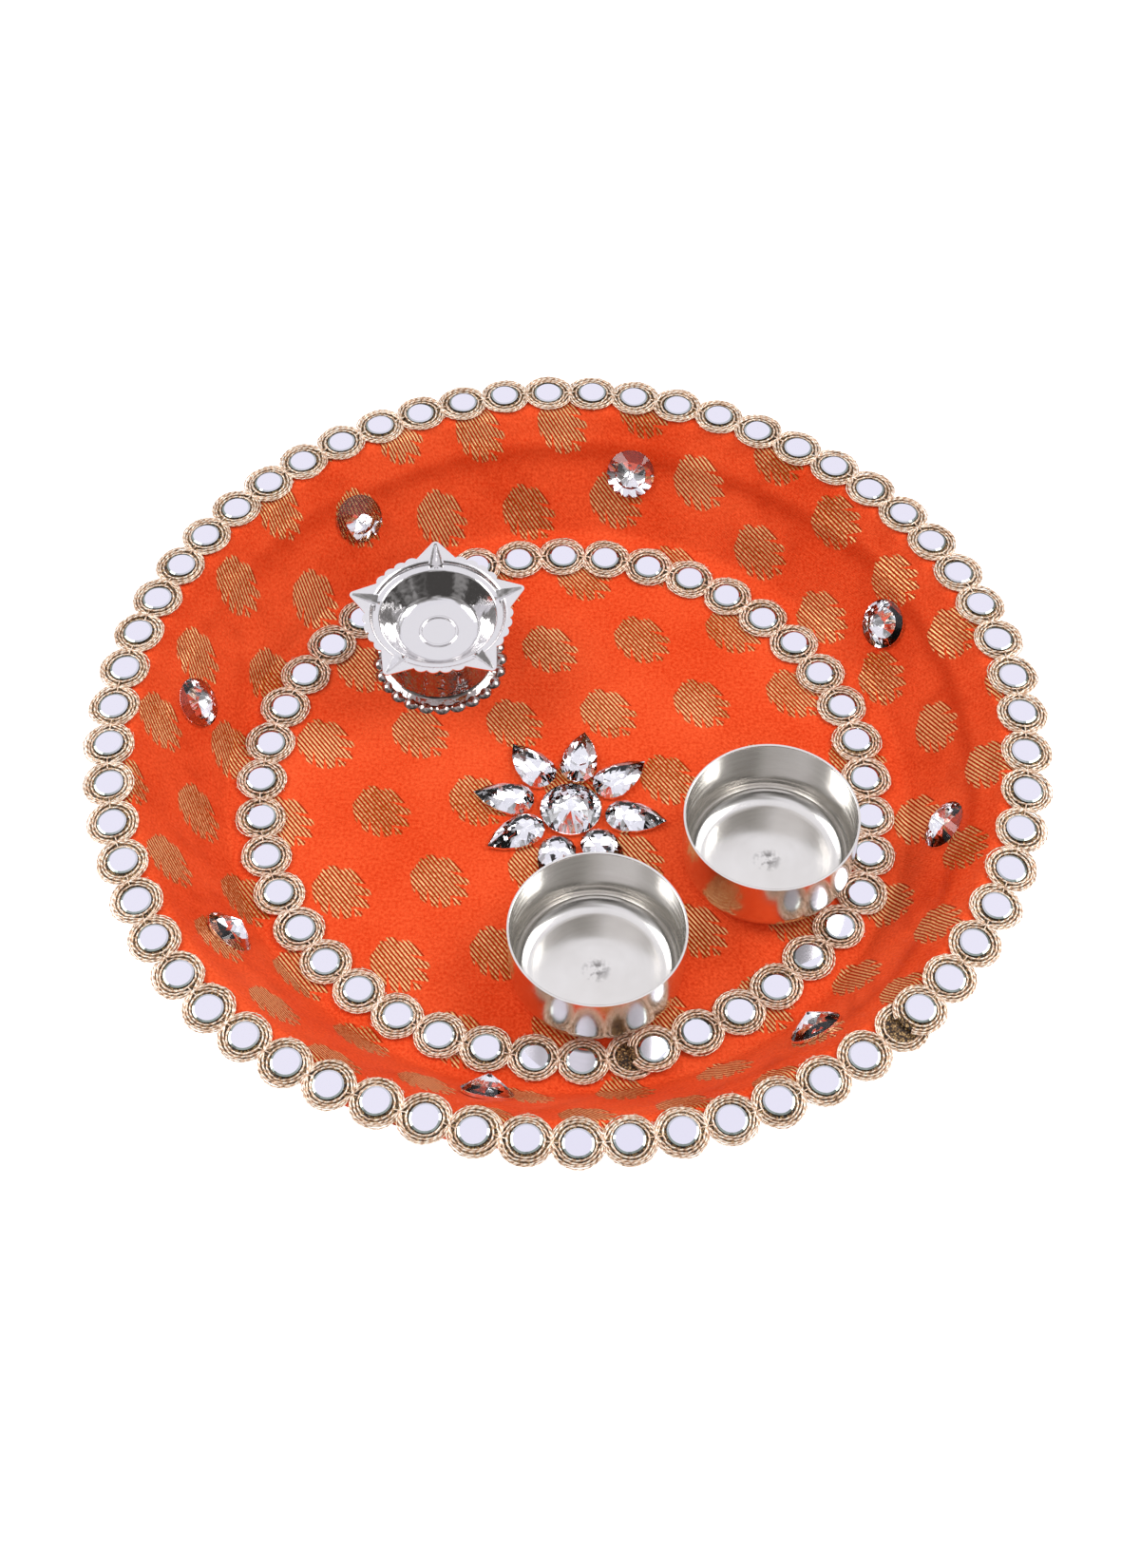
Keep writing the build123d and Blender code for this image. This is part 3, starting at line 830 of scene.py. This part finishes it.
@dataclass
class Plate:
    """The spun plate and the brocade that is stretched over it, in millimetres."""

    floor_radius: float = 110.466
    rim_radius: float = 136.966
    edge_radius: float = 145.2
    sheet: float = 0.8
    depth: float = 32.6
    droop_deg: float = 5.0
    cloth: float = 0.5
    cloth_air: float = 0.1
    bend: float = 4.0
    bend_steps: int = 4
    step: float = 2.2
    turn_under: float = 1.6
    spokes: int = 240
    weld: float = 0.02
    slack: float = 0.3
    ripple: float = 0.6
    ripple_rate: float = 9.0
    slant: float = 0.3
    slant_rate: float = 20.0
    fold: float = 1.3
    fold_below_rim: float = 12.0
    fold_width: tuple[float, float] = (4.5, 1.6)
    fold_drift: float = 2.5
    fold_drift_rate: float = 3.0
    fold_side_deg: float = 50.0

    def wall_slope(self) -> float:
        """Slope of the wall, in radians."""
        return math.atan2(self.depth, self.rim_radius - self.floor_radius)

    def corners(self, lift: float) -> list[Vector]:
        """Corners of the plate's section, a lift above its upper face.

        Args:
            lift: Distance above the steel.

        Returns:
            Points of radius and height from the centre to the edge.
        """
        droop = math.radians(self.droop_deg)
        wall = self.wall_slope()
        top = self.sheet + self.depth
        fall = (self.edge_radius - self.rim_radius) * math.tan(droop)
        inner = lift * math.tan(wall / 2)
        turn = (wall - droop) / 2
        miter = lift / math.cos((wall + droop) / 2)
        return [
            Vector((0.0, self.sheet + lift)),
            Vector((self.floor_radius - inner, self.sheet + lift)),
            Vector((self.rim_radius - miter * math.sin(turn), top + miter * math.cos(turn))),
            Vector((self.edge_radius + lift * math.sin(droop), top - fall + lift * math.cos(droop))),
        ]

    def section(self, lift: float) -> list[Vector]:
        """Section of a sheet on the plate with rounded corners, evenly stepped.

        Args:
            lift: Distance above the steel.

        Returns:
            Points of radius and height.
        """
        points = self.corners(lift)
        line = [points[0]]
        for before, corner, after in zip(points, points[1:], points[2:]):
            into = (before - corner).normalized()
            away = (after - corner).normalized()
            back = self.bend / math.tan(into.angle(away) / 2)
            start = corner + into * back
            end = corner + away * back
            for number in range(self.bend_steps + 1):
                share = number / self.bend_steps
                line.append(start.lerp(corner, share).lerp(corner.lerp(end, share), share))
        line.append(points[-1])
        stepped = [line[0]]
        for before, after in zip(line, line[1:]):
            steps = max(1, round((after - before).length / self.step))
            stepped += [before.lerp(after, (number + 1) / steps) for number in range(steps)]
        return stepped

    def spin(self, name: str, line: list[Vector]) -> Object:
        """Spin a section about Z into an open sheet with its face up.

        Args:
            name: Name of the sheet.
            line: Points of radius and height, from the centre out.

        Returns:
            The sheet, without thickness.
        """
        pick()
        bpy.ops.mesh.primitive_plane_add(size=MM)
        sheet = named(name)
        with edit_all():
            bpy.ops.mesh.merge(type="CENTER")
            bpy.ops.transform.translate(value=(line[0].x * MM, 0, line[0].y * MM))
            for before, after in zip(line, line[1:]):
                step = after - before
                move = {"value": (step.x * MM, 0, step.y * MM)}
                bpy.ops.mesh.extrude_region_move(TRANSFORM_OT_translate=move)
            bpy.ops.mesh.select_all(action="SELECT")
            bpy.ops.mesh.spin(steps=self.spokes, angle=math.tau, center=(0, 0, 0), axis=(0, 0, 1))
            bpy.ops.mesh.select_all(action="SELECT")
            bpy.ops.mesh.remove_doubles(threshold=self.weld * MM)
            bpy.ops.mesh.normals_make_consistent(inside=False)
        if sheet.data.polygons[0].normal.z < 0:
            sheet.data.flip_normals()
        bpy.ops.object.shade_smooth()
        return sheet

    def build_steel(self) -> Object:
        """Spin the steel plate, whose rim ends under the lace as in the photograph.

        Returns:
            The plate with its sheet's thickness.
        """
        steel = self.spin("spun_plate", self.section(0.0))
        apply_modifier(steel, "SOLIDIFY", thickness=self.sheet * MM, offset=-1.0)
        return steel

    def build_lining(self, line: list[Vector]) -> Object:
        """Spin the cloth's section, map its flat cut and press soft wrinkles into it.

        Args:
            line: The cloth's section.

        Returns:
            The lining, one sheet with its real thickness.
        """
        lining = self.spin("brocade_lining", line)
        self.map_cut(lining, line)
        self.wrinkle(lining)
        apply_modifier(lining, "SOLIDIFY", thickness=(self.cloth - self.cloth_air) * MM, offset=-1.0)
        return lining

    def map_cut(self, lining: Object, line: list[Vector]) -> None:
        """Lay each point where it was on the flat round cut, in metres.

        Args:
            lining: The spun cloth.
            line: Its section.
        """
        run = [0.0]
        for before, after in zip(line, line[1:]):
            run.append(run[-1] + (after - before).length)
        chart = lining.data.uv_layers.new(name=FLAT_CUT)
        spots = [vertex.co.copy() for vertex in lining.data.vertices]
        for loop in lining.data.loops:
            spot = spots[loop.vertex_index] / MM
            reach = math.hypot(spot.x, spot.y)
            away = [(point.x - reach) ** 2 + (point.y - spot.z) ** 2 for point in line]
            grow = run[away.index(min(away))] / reach if reach > self.weld else 0.0
            chart.data[loop.index].uv = (spot.x * grow * MM, spot.y * grow * MM)

    def wrinkle(self, lining: Object) -> None:
        """Raise the soft ripples and the fold that the stretched cloth has on the wall, and write their
        painted shade into an attribute.

        Args:
            lining: The spun cloth.
        """
        wall = self.wall_slope()
        normal = Vector((-math.sin(wall), math.cos(wall)))
        foot, head = self.corners(self.cloth)[1:3]
        span = (head - foot).length
        side = math.radians(self.fold_side_deg)
        crease = lining.data.attributes.new(PAINTED_FOLD_SHADE, "FLOAT", "POINT")
        for vertex in lining.data.vertices:
            spot = vertex.co / MM
            reach = math.hypot(spot.x, spot.y)
            angle = math.atan2(spot.y, spot.x)
            climb = (Vector((reach, spot.z)) - foot).dot((head - foot).normalized())
            share = climb / span
            if not 0.0 < share < 1.0:
                continue
            on_wall = math.sin(math.pi * share) ** 0.7
            ring = Vector((math.cos(angle), math.sin(angle), 0.0))
            ripple = noise.noise(ring * self.ripple_rate + Vector((0, 0, share * 1.3)))
            slant = noise.noise(ring * self.slant_rate + Vector((share * 5.0, 3.0, 0)))
            drift = self.fold_drift * noise.noise(ring * self.fold_drift_rate + Vector((7.0, 0, 0)))
            past = climb - (span - self.fold_below_rim + drift)
            facing = 0.5 + 0.5 * math.cos(angle - side)
            fold = math.exp(-((past / self.fold_width[past > 0]) ** 2)) * facing
            lift = self.slack + self.ripple * ripple + self.slant * slant + self.fold * fold
            # Painted shade: a little over the whole wall, more along the fold and on the ripples' slopes
            dark = 0.05 + 1.2 * fold + max(0.0, 0.8 * slant)
            crease.data[vertex.index].value = on_wall * min(1.0, dark)
            push = normal * max(on_wall * lift, 0.0)
            vertex.co = (spot + ring * push.x + Vector((0, 0, push.y))) * MM

    def dress(self) -> None:
        """Build the plate and its lining and dress them."""
        line = self.section(self.cloth)
        line.append(line[-1] + Vector((self.cloth, -self.turn_under)))
        lining = self.build_lining(line)
        finish_piece(lining, BrocadeSatin().make(), "fabric_lining")
        steel = SpunSteel().make("spun stainless steel plate")
        finish_piece(self.build_steel(), steel, "plate_base")


@dataclass
class LaceRing:
    """A ring of mirror lace in millimetres: net, zari cords that cross between motifs, and mirrors."""

    name: str
    radius: float
    start_deg: float
    nudges: tuple[tuple[float, float], ...]
    shift: float
    droop_deg: float
    base_height: float
    base_radius: float
    pitch: float = 14.95
    pitch_rounds: int = 4
    spread_deg: float = 12.0
    tape: float = 0.7
    net_radius: float = 7.3
    net_sides: int = 32
    net_bevel: tuple[float, float] = (0.5, 0.1)
    net_stagger: float = 0.04
    net_ragged: float = 0.12
    mirror_radius: float = 4.7
    mirror_height: float = 1.0
    mirror_sides: int = 26
    mirror_bevel: tuple[float, float] = (0.6, 0.2)
    mirror_cuts: int = 3
    cut_share: float = 0.045
    drift: float = 0.3
    drift_turn_deg: float = 137.5
    cord_along: tuple[float, ...] = (5.45, 6.6, 7.5, 8.0)
    cord_across: tuple[float, ...] = (5.45, 6.45, 7.3, 7.95)
    cord_thick: tuple[float, ...] = (0.34, 0.36, 0.38, 0.24)
    round_sweep: tuple[int, int, int] = (180, 540, 42)
    cross_sweep: tuple[int, int, int] = (158, 136, 14)
    cross_lift: float = 0.35
    seat: float = 0.6
    wander: float = 0.06
    unevenness: float = 0.012
    bounce: float = 0.06
    lap_lift: float = 1.1
    lap_share: float = 0.35
    loose_ends: int = 9
    fray_thick: float = 0.07
    fray_height: float = 1.0
    fray_run: float = 1.4
    fray_out: tuple[float, float] = (0.2, 0.75)
    fray_free: float = 0.85

    def laid(self, angle: float) -> float:
        """Radius of the hand-laid ring.

        Args:
            angle: Angle about the plate, in degrees.

        Returns:
            Radius there.
        """
        reach = self.radius
        for place, offset in self.nudges:
            away = (angle - place + 180.0) % 360.0 - 180.0
            reach += offset * math.exp(-((away / self.spread_deg) ** 2))
        return reach

    def places(self) -> list[tuple[float, float]]:
        """Motifs at an even pitch, clockwise, until the end laps over the start.

        Returns:
            Angle in degrees and radius of each motif.
        """
        found = [(self.start_deg, self.laid(self.start_deg))]
        while True:
            angle, here = found[-1]
            step = math.degrees(self.pitch / here)
            for _ in range(self.pitch_rounds):
                there = self.laid(angle - step)
                along = math.sqrt(self.pitch**2 - (there - here) ** 2)
                step = math.degrees(along / ((there + here) / 2))
            if self.start_deg - (angle - step) >= 360.0:
                return found
            found.append((angle - step, there))

    def frame(self, angle: float, reach: float) -> Matrix:
        """Place of a motif on the cloth: X along the braid, Y outward, Z off the cloth.

        Args:
            angle: Angle of the motif in degrees.
            reach: Radius of the motif.

        Returns:
            Matrix in millimetres.
        """
        turn = math.radians(angle)
        slope = math.radians(self.droop_deg)
        east, north = math.cos(turn), math.sin(turn)
        level, fall = math.cos(slope), math.sin(slope)
        out = Vector((east * level, north * level, -fall))
        up = Vector((east * fall, north * fall, level))
        along = out.cross(up)
        height = self.base_height - (reach - self.base_radius) * math.tan(slope)
        frame = Matrix((along, out, up)).transposed().to_4x4()
        frame.translation = Vector((reach * east + self.shift, reach * north, height))
        return frame

    def cord_line(self, spots: list[Matrix], ply: int, side: int) -> list[Vector]:
        """Line of one cord that passes the motifs on alternate sides; the innermost rounds each mirror.

        Args:
            spots: Frames of the motifs.
            ply: Which of the rounds of cord it is.
            side: 1 to start on the outer side, -1 on the inner side.

        Returns:
            Points in millimetres.
        """
        chance = random.Random(SEED + ply * 11 + side)
        along, across, thick = self.cord_along[ply], self.cord_across[ply], self.cord_thick[ply]
        start, turn, steps = self.cross_sweep if ply else self.round_sweep
        line = []
        for number, spot in enumerate(spots):
            way = side if number % 2 == 0 else -side
            over = self.cross_lift if way > 0 else 0.0
            for step in range(steps + 1):
                share = step / steps
                sweep = math.radians(start - turn * share)
                # Each cord takes its own way through the noise
                drift = noise.noise(Vector((number * 1.9 + share * 2.6, ply * 5.3, side * 3.1)))
                swell = 1 + self.wander * drift + chance.uniform(-self.unevenness, self.unevenness)
                lift = self.tape + thick * self.seat + over * abs(math.cos(sweep)) ** 3
                local = Vector((math.cos(sweep) * along, way * math.sin(sweep) * across, 0)) * swell
                local.z = lift + chance.uniform(-self.bounce, self.bounce)
                line.append(spot @ local)
        return line

    def build_cords(self, spots: list[Matrix]) -> Object:
        """Lay the cords as curves, give them their thickness and make them a mesh.

        Args:
            spots: Frames of the motifs.

        Returns:
            All the cords of the ring.
        """
        cords = []
        for ply, thick in enumerate(self.cord_thick):
            for side in (1, -1) if ply else (1,):
                line = self.cord_line(spots, ply, side)
                cord = tubes(f"{self.name}_cord_{ply}", [line], thick, roundness=1)
                self.map_run(cord, line)
                cords.append(cord)
        cords.append(self.build_frays(spots))
        whole = joined(cords, f"{self.name}_zari_cords")
        bpy.ops.object.shade_smooth()
        return whole

    def build_frays(self, spots: list[Matrix]) -> Object:
        """Draw the loose threads that stand out of the outer round of cord.

        Args:
            spots: Frames of the motifs.

        Returns:
            All the loose threads of the ring.
        """
        chance = random.Random(SEED * 3)
        along, across = self.cord_along[-1], self.cord_across[-1]
        lines = []
        for spot in spots:
            for _ in range(self.loose_ends):
                sweep = chance.uniform(0, math.tau)
                east, north = math.cos(sweep), math.sin(sweep)
                if abs(east) > self.fray_free:
                    continue
                start = Vector((east * along, north * across, self.fray_height))
                run = Vector((-north, east, 0)) * chance.uniform(-self.fray_run, self.fray_run)
                out = Vector((east, north, 0)) * chance.uniform(*self.fray_out)
                thread = (start, start + run / 2 + out, start + run + out * 0.6)
                lines.append([spot @ place for place in thread])
        return tubes(f"{self.name}_frays", lines, self.fray_thick, roundness=0)

    def map_run(self, cord: Object, line: list[Vector]) -> None:
        """Write each face's run along the cord, in metres, and its turn about it.

        Args:
            cord: Mesh tube with its rings in order.
            line: The cord's points.
        """
        run = [0.0]
        for before, after in zip(line, line[1:]):
            run.append(run[-1] + (after - before).length * MM)
        sides = len(cord.data.vertices) // len(line)
        for layer in list(cord.data.uv_layers):
            cord.data.uv_layers.remove(layer)
        chart = cord.data.uv_layers.new(name=CORD_RUN)
        for face in cord.data.polygons:
            turns = [vertex % sides for vertex in face.vertices]
            wrap = sides - 1 in turns and 0 in turns
            for loop, vertex in zip(face.loop_indices, face.vertices):
                ring = min(vertex // sides, len(run) - 1)
                turn = vertex % sides
                turn = turn + sides if wrap and turn == 0 else turn
                chart.data[loop].uv = (run[ring], turn / sides)

    def build_net(self, spots: list[Matrix]) -> Object:
        """Make the scalloped net: a soft-edged disc under each motif.

        Args:
            spots: Frames of the motifs.

        Returns:
            The net of the whole ring.
        """
        squeeze = self.cord_across[-1] / self.cord_along[-1]
        disc = low_round("net_disc", self.net_radius, self.net_sides, self.tape, self.net_bevel, squeeze)
        chance = random.Random(SEED)
        copies = []
        for number, spot in enumerate(spots):
            raised = Matrix.Translation((0, 0, self.net_stagger * (number % 2)))
            twin = copy_of(disc, in_metres(spot, raised))
            for vertex in twin.data.vertices:
                shake = Vector((chance.uniform(-1, 1), chance.uniform(-1, 1), 0))
                vertex.co += shake * self.net_ragged * MM
            copies.append(twin)
        removed(disc)
        net = joined(copies, f"{self.name}_tinsel_net")
        bpy.ops.object.shade_smooth_by_angle(angle=math.radians(40))
        return net

    def build_mirrors(self, spots: list[Matrix]) -> Object:
        """Cut the mirrors: rounds with a polished bevel, no two quite alike.

        Args:
            spots: Frames of the motifs that carry a mirror.

        Returns:
            All the mirrors of the ring.
        """
        upright = self.mirror_height - self.mirror_bevel[1]
        disc = low_round("mirror_disc", self.mirror_radius, self.mirror_sides, upright, self.mirror_bevel)
        copies = []
        for number, spot in enumerate(spots):
            chance = random.Random(SEED * 100 + number)
            turn = math.radians(number * self.drift_turn_deg)
            slide = Vector((math.cos(turn), math.sin(turn), 0)) * self.drift
            seat = Matrix.Translation(slide + Vector((0, 0, self.tape)))
            twin = copy_of(disc, Matrix.Identity(4))
            cuts = [
                (chance.uniform(0, math.tau), chance.uniform(0.0, self.cut_share))
                for _ in range(self.mirror_cuts)
            ]
            for vertex in twin.data.vertices:
                angle = math.atan2(vertex.co.y, vertex.co.x)
                trim = max(deep * max(0.0, math.cos(angle - way)) ** 8 for way, deep in cuts)
                vertex.co.x *= 1 - trim
                vertex.co.y *= 1 - trim
            twin.data.transform(in_metres(spot, seat))
            copies.append(twin)
        removed(disc)
        return joined(copies, f"{self.name}_mirrors")

    def dress(self, cord: Material, net: Material, glass: Material) -> None:
        """Build the ring's three pieces and dress them.

        Args:
            cord: Zari cord.
            net: Tinsel net.
            glass: Mirror glass.
        """
        spots = [self.frame(angle, reach) for angle, reach in self.places()]
        for back, share in ((1, 1.0), (2, self.lap_share)):
            spots[-back] = spots[-back] @ Matrix.Translation((0, 0, self.lap_lift * share))
        finish_piece(self.build_cords(spots), cord, f"{self.name}_trim_cord")
        finish_piece(self.build_net(spots), net, f"{self.name}_trim_tape")
        finish_piece(self.build_mirrors(spots[1:]), glass, f"{self.name}_trim_mirrors")


@dataclass
class Stones:
    """Foiled stones of the wall and the floor, and the glue under them, in millimetres."""

    wall_places: tuple[tuple[float, float], ...] = (
        (125.7, 22.0),
        (80.4, 22.0),
        (29.8, 17.5),
        (-10.1, 18.5),
        (-51.9, 20.0),
        (-101.1, 15.5),
        (-148.1, 19.5),
        (169.4, 20.5),
    )
    wall_inner: float = 4.6
    wall_outer: float = 1.8
    petals: tuple[tuple[float, float], ...] = (
        (127.0, 1.6),
        (82.0, 0.5),
        (38.5, 0.3),
        (-8.0, 0.9),
        (-56.0, 0.0),
        (-104.0, 0.6),
        (-151.0, 0.0),
        (168.5, 1.9),
    )
    flower: tuple[float, float] = (1.1, -7.4)
    centre_inner: float = 5.6
    centre_facets: int = 9
    petal_reach: float = 16.3
    petal_inner: float = 3.4
    petal_facets: int = 6
    glue: float = 0.6
    glue_gap: float = 0.06
    weld: float = 0.001

    def wall_frame(self, plate: Plate, angle: float, climb: float) -> Matrix:
        """Frame of a stone's back on the wall, its Z off the cloth.

        Args:
            plate: Plate that the stone is glued to.
            angle: Angle about the plate, in degrees.
            climb: Way up the slope.

        Returns:
            Matrix in millimetres.
        """
        foot, head = plate.corners(plate.cloth)[1:3]
        slope = (head - foot).normalized()
        spot = foot + slope * climb + Vector((-slope.y, slope.x)) * self.glue
        off = Vector((-slope.y, 0, slope.x))
        across = Vector((0, 1, 0))
        frame = Matrix((across, off.cross(across), off)).transposed().to_4x4()
        frame.translation = Vector((spot.x, 0, spot.y))
        return Matrix.Rotation(math.radians(angle), 4, "Z") @ frame

    def build_glue(self, node: Object, slope: float) -> Object:
        """Copy a node of glue beds, pressed a little off the stones' backs.

        Args:
            node: CAD node of the beds.
            slope: Slope of the face under them, in radians.

        Returns:
            The beds as one piece.
        """
        beds = copy_of(node, Matrix.Identity(4))
        pick(beds)
        with edit_all():
            bpy.ops.mesh.remove_doubles(threshold=self.weld * MM)
        for vertex in beds.data.vertices:
            out = Vector((vertex.co.x, vertex.co.y, 0)).normalized()
            into = out * math.sin(slope) - Vector((0, 0, math.cos(slope)))
            vertex.co += into * self.glue_gap * MM
        return named(f"{node.name}_beds")

    def dress(self, nodes: dict[str, Object], plate: Plate) -> None:
        """Dress the stones and the glue.

        Args:
            nodes: CAD nodes by name.
            plate: Plate that they are glued to.
        """
        for number, (angle, climb) in enumerate(self.wall_places, 1):
            frame = self.wall_frame(plate, angle, climb)
            name = f"foiled acrylic, wall stone {number}"
            stone = FoiledCrystal(name, frame, inner_mm=self.wall_inner, outer=self.wall_outer)
            dress_node(nodes[f"wall_stone_{number}"], stone.make())
        place = Matrix.Translation((*self.flower, plate.sheet + plate.cloth + self.glue))
        name = "foiled acrylic, flower centre"
        centre = FoiledCrystal(name, place, self.centre_inner, self.centre_facets)
        dress_node(nodes["flower_centre_stone"], centre.make())
        for number, (angle, offset) in enumerate(self.petals, 1):
            turn = Matrix.Rotation(math.radians(angle), 4, "Z")
            frame = place @ turn @ Matrix.Translation((self.petal_reach + offset, 0, 0))
            name = f"foiled acrylic, petal {number}"
            petal = FoiledCrystal(name, frame, self.petal_inner, self.petal_facets)
            dress_node(nodes[f"flower_petal_{number}"], petal.make())
        glue = HotGlue().make()
        for name, lean in (("wall_stone_glue", plate.wall_slope()), ("flower_glue", 0.0)):
            finish_piece(self.build_glue(nodes[name], lean), glue, name)


@dataclass
class Vessels:
    """The loose katoris and the diya."""

    katori: SpunSteel = SpunSteel(
        colour="#F4F2EE", ring_mm=0.8, roughness=0.17, stained=True, brushed=0.6, relief=0.04
    )
    bowl: PressedSilver = PressedSilver()
    # Painted reflection: the foot's sheet is darker than the bowl's, standing in for the brownish
    # surroundings that its lobes reflect
    foot: PressedSilver = PressedSilver(colour="#A69C98", wave_mm=3.0)

    def dress(self, nodes: dict[str, Object]) -> None:
        """Dress the katoris and the diya.

        Args:
            nodes: CAD nodes by name.
        """
        for name in ("katori_front", "katori_right"):
            low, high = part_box(name)
            centre = ((low.x + high.x) / 2 / MM, (low.y + high.y) / 2 / MM, low.z / MM)
            steel = replace(self.katori, centre_mm=centre)
            dress_node(nodes[name], steel.make(f"polished stainless steel, {name}"))
        dress_node(nodes["diya_bowl"], self.bowl.make("pressed silver-plated sheet"))
        dress_node(nodes["diya_foot"], self.foot.make("dulled silver-plated sheet"))


@dataclass
class Studio:
    """Pale floor, soft light and the camera at the photograph's angle; lamps in metres and watts."""

    camera_mm: tuple[float, float, float] = (0.743, -507.26, 736.3)
    target_mm: tuple[float, float, float] = (0.743, -20.05, 35.2)
    roll_deg: float = 0.598
    lens: float = 63.2
    sensor: float = 36.0
    clip: tuple[float, float] = (0.01, 20.0)
    floor_size: float = 6.0
    floor_drop_mm: float = 0.2
    floor_colour: str = "#F4F4F4"
    floor_glow: float = 0.8
    bright_way: tuple[float, float, float] = (0.0, 0.57, 0.82)
    fill: float = 0.58
    sky: tuple[tuple[float, str], ...] = (
        (0.0, "#4A4847"),
        (0.3, "#9E9C9C"),
        (0.5, "#C9C8CC"),
        (0.64, "#F3F2FB"),
        (1.0, "#F8F7FE"),
    )
    lamps: tuple[tuple[str, tuple[float, float, float], float, float, bool], ...] = (
        ("soft_box_left", (-0.8, 0.2, 0.8), 0.55, 4.4, True),
        ("soft_box_right", (0.8, 0.15, 0.85), 0.6, 5.4, True),
        ("soft_box_front", (0.1, -0.9, 1.1), 0.6, 3.6, False),
    )

    def place_camera(self) -> None:
        """Set the camera where the photograph was taken."""
        data = bpy.data.cameras.new("camera")
        data.lens = self.lens
        data.sensor_width = self.sensor
        data.clip_start, data.clip_end = self.clip
        camera = bpy.data.objects.new("camera", data)
        bpy.context.scene.collection.objects.link(camera)
        spot = Vector(self.camera_mm) * MM
        ahead = (Vector(self.target_mm) * MM - spot).normalized()
        right = ahead.cross(Vector((0, 0, 1))).normalized()
        up = right.cross(ahead)
        roll = math.radians(self.roll_deg)
        across = right * math.cos(roll) + up * math.sin(roll)
        upward = up * math.cos(roll) - right * math.sin(roll)
        turn = Matrix((across, upward, -ahead)).transposed().to_4x4()
        turn.translation = spot
        camera.matrix_world = turn
        bpy.context.scene.camera = camera

    def lay_floor(self) -> None:
        """Lay the pale floor, which keeps the object's shadow."""
        pick()
        place = (0, 0, -self.floor_drop_mm * MM)
        bpy.ops.mesh.primitive_plane_add(size=self.floor_size, location=place)
        floor = named("studio_floor")
        material, tree, shader = blank_material("pale paper floor")
        feed(tree, shader, {"Base Color": linear(self.floor_colour), "Roughness": 0.9})
        path = add(tree, "LightPath").outputs
        seen = add(
            tree, "Math", [path["Is Camera Ray"], path["Is Glossy Ray"]], operation="MAXIMUM"
        )
        shown = add(tree, "Math", [seen, path["Is Transmission Ray"]], operation="MAXIMUM")
        glow = add(tree, "Emission", {"Color": WHITE, "Strength": self.floor_glow})
        both = add(tree, "AddShader", [shader, glow])
        mixed = add(tree, "MixShader", [shown, shader, both])
        feed(tree, tree.nodes["Material Output"], {"Surface": mixed})
        floor.data.materials.append(material)

    def paint_surround(self) -> None:
        """Make the surround: white to the camera, and a dimmer uneven room in what shines."""
        world = bpy.data.worlds.new("surround")
        bpy.context.scene.world = world
        world.use_nodes = True
        tree = world.node_tree
        tree.nodes.clear()
        path = add(tree, "LightPath").outputs
        where = add(tree, "TexCoord").outputs["Generated"]
        toward = Vector(self.bright_way).normalized()
        facing = add(tree, "VectorMath", [where, toward], operation="DOT_PRODUCT").outputs["Value"]
        clutter = add(tree, "TexNoise", {"Vector": where, "Scale": 2.2, "Detail": 1.0})
        uneven = add(tree, "MapRange", {0: clutter, 1: 0.3, 2: 0.7, 3: -0.3, 4: 0.3})
        rise = add(tree, "SeparateXYZ", [where]).outputs[2]
        low = add(tree, "MapRange", {0: rise, 1: 0.05, 2: 0.4, 3: -0.45, 4: 0.0})
        height = add(tree, "Math", [facing, low], operation="ADD")
        level = add(tree, "Math", [height, uneven], operation="ADD")
        sky = add(tree, "ValToRGB", {"Fac": level}, self.sky)
        plain = add(
            tree, "Math", [path["Is Camera Ray"], path["Is Diffuse Ray"]], operation="MAXIMUM"
        )
        tone = add(tree, "MixRGB", {"Fac": plain, "Color1": sky, "Color2": WHITE})
        strength = add(tree, "MapRange", {0: path["Is Diffuse Ray"], 3: 1.0, 4: self.fill})
        back = add(tree, "Background", {"Color": tone, "Strength": strength})
        add(tree, "OutputWorld", {"Surface": back})

    def hang_lamps(self) -> None:
        """Hang the soft boxes, turned to the object."""
        for name, spot, size, power, mirrored in self.lamps:
            lamp = bpy.data.lights.new(name, "AREA")
            lamp.energy = power
            lamp.size = size
            lamp.shape = "SQUARE"
            hung = bpy.data.objects.new(name, lamp)
            bpy.context.scene.collection.objects.link(hung)
            hung.location = spot
            hung.rotation_mode = "QUATERNION"
            hung.rotation_quaternion = (-Vector(spot)).to_track_quat("-Z", "Y")
            hung.visible_glossy = mirrored

    def set_up(self) -> None:
        """Place the camera, the floor and the lights."""
        self.place_camera()
        self.lay_floor()
        self.paint_surround()
        self.hang_lamps()
        bpy.context.scene.view_settings.view_transform = "Standard"


def main() -> None:
    """Build the thali around its frame."""
    logging.basicConfig(level=logging.INFO, format="%(message)s")
    for leftover in list(bpy.data.objects):
        removed(leftover)
    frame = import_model()
    nodes = frame["nodes"]
    plate = Plate()
    rim_top = plate.corners(plate.cloth)[2]
    plate.dress()
    cord, net, glass = ZariCord().make(), NetTape().make(), MirrorGlass().make()
    rim = LaceRing(
        name="rim",
        radius=143.966,
        start_deg=-46.7,
        nudges=((-141.0, 1.6), (-109.0, -1.9), (58.0, -1.3), (92.0, 0.9)),
        shift=0.0,
        droop_deg=plate.droop_deg,
        base_height=rim_top.y,
        base_radius=rim_top.x,
    )
    base = LaceRing(
        name="base",
        radius=98.271,
        start_deg=-77.6,
        nudges=((-81.0, 1.8), (-21.5, 3.6)),
        shift=-1.1,
        droop_deg=0.0,
        base_height=plate.sheet + plate.cloth,
        base_radius=0.0,
    )
    for ring in (rim, base):
        ring.dress(cord, net, glass)
    Stones().dress(nodes, plate)
    Vessels().dress(nodes)
    Studio().set_up()


if __name__ == "__main__":
    main()
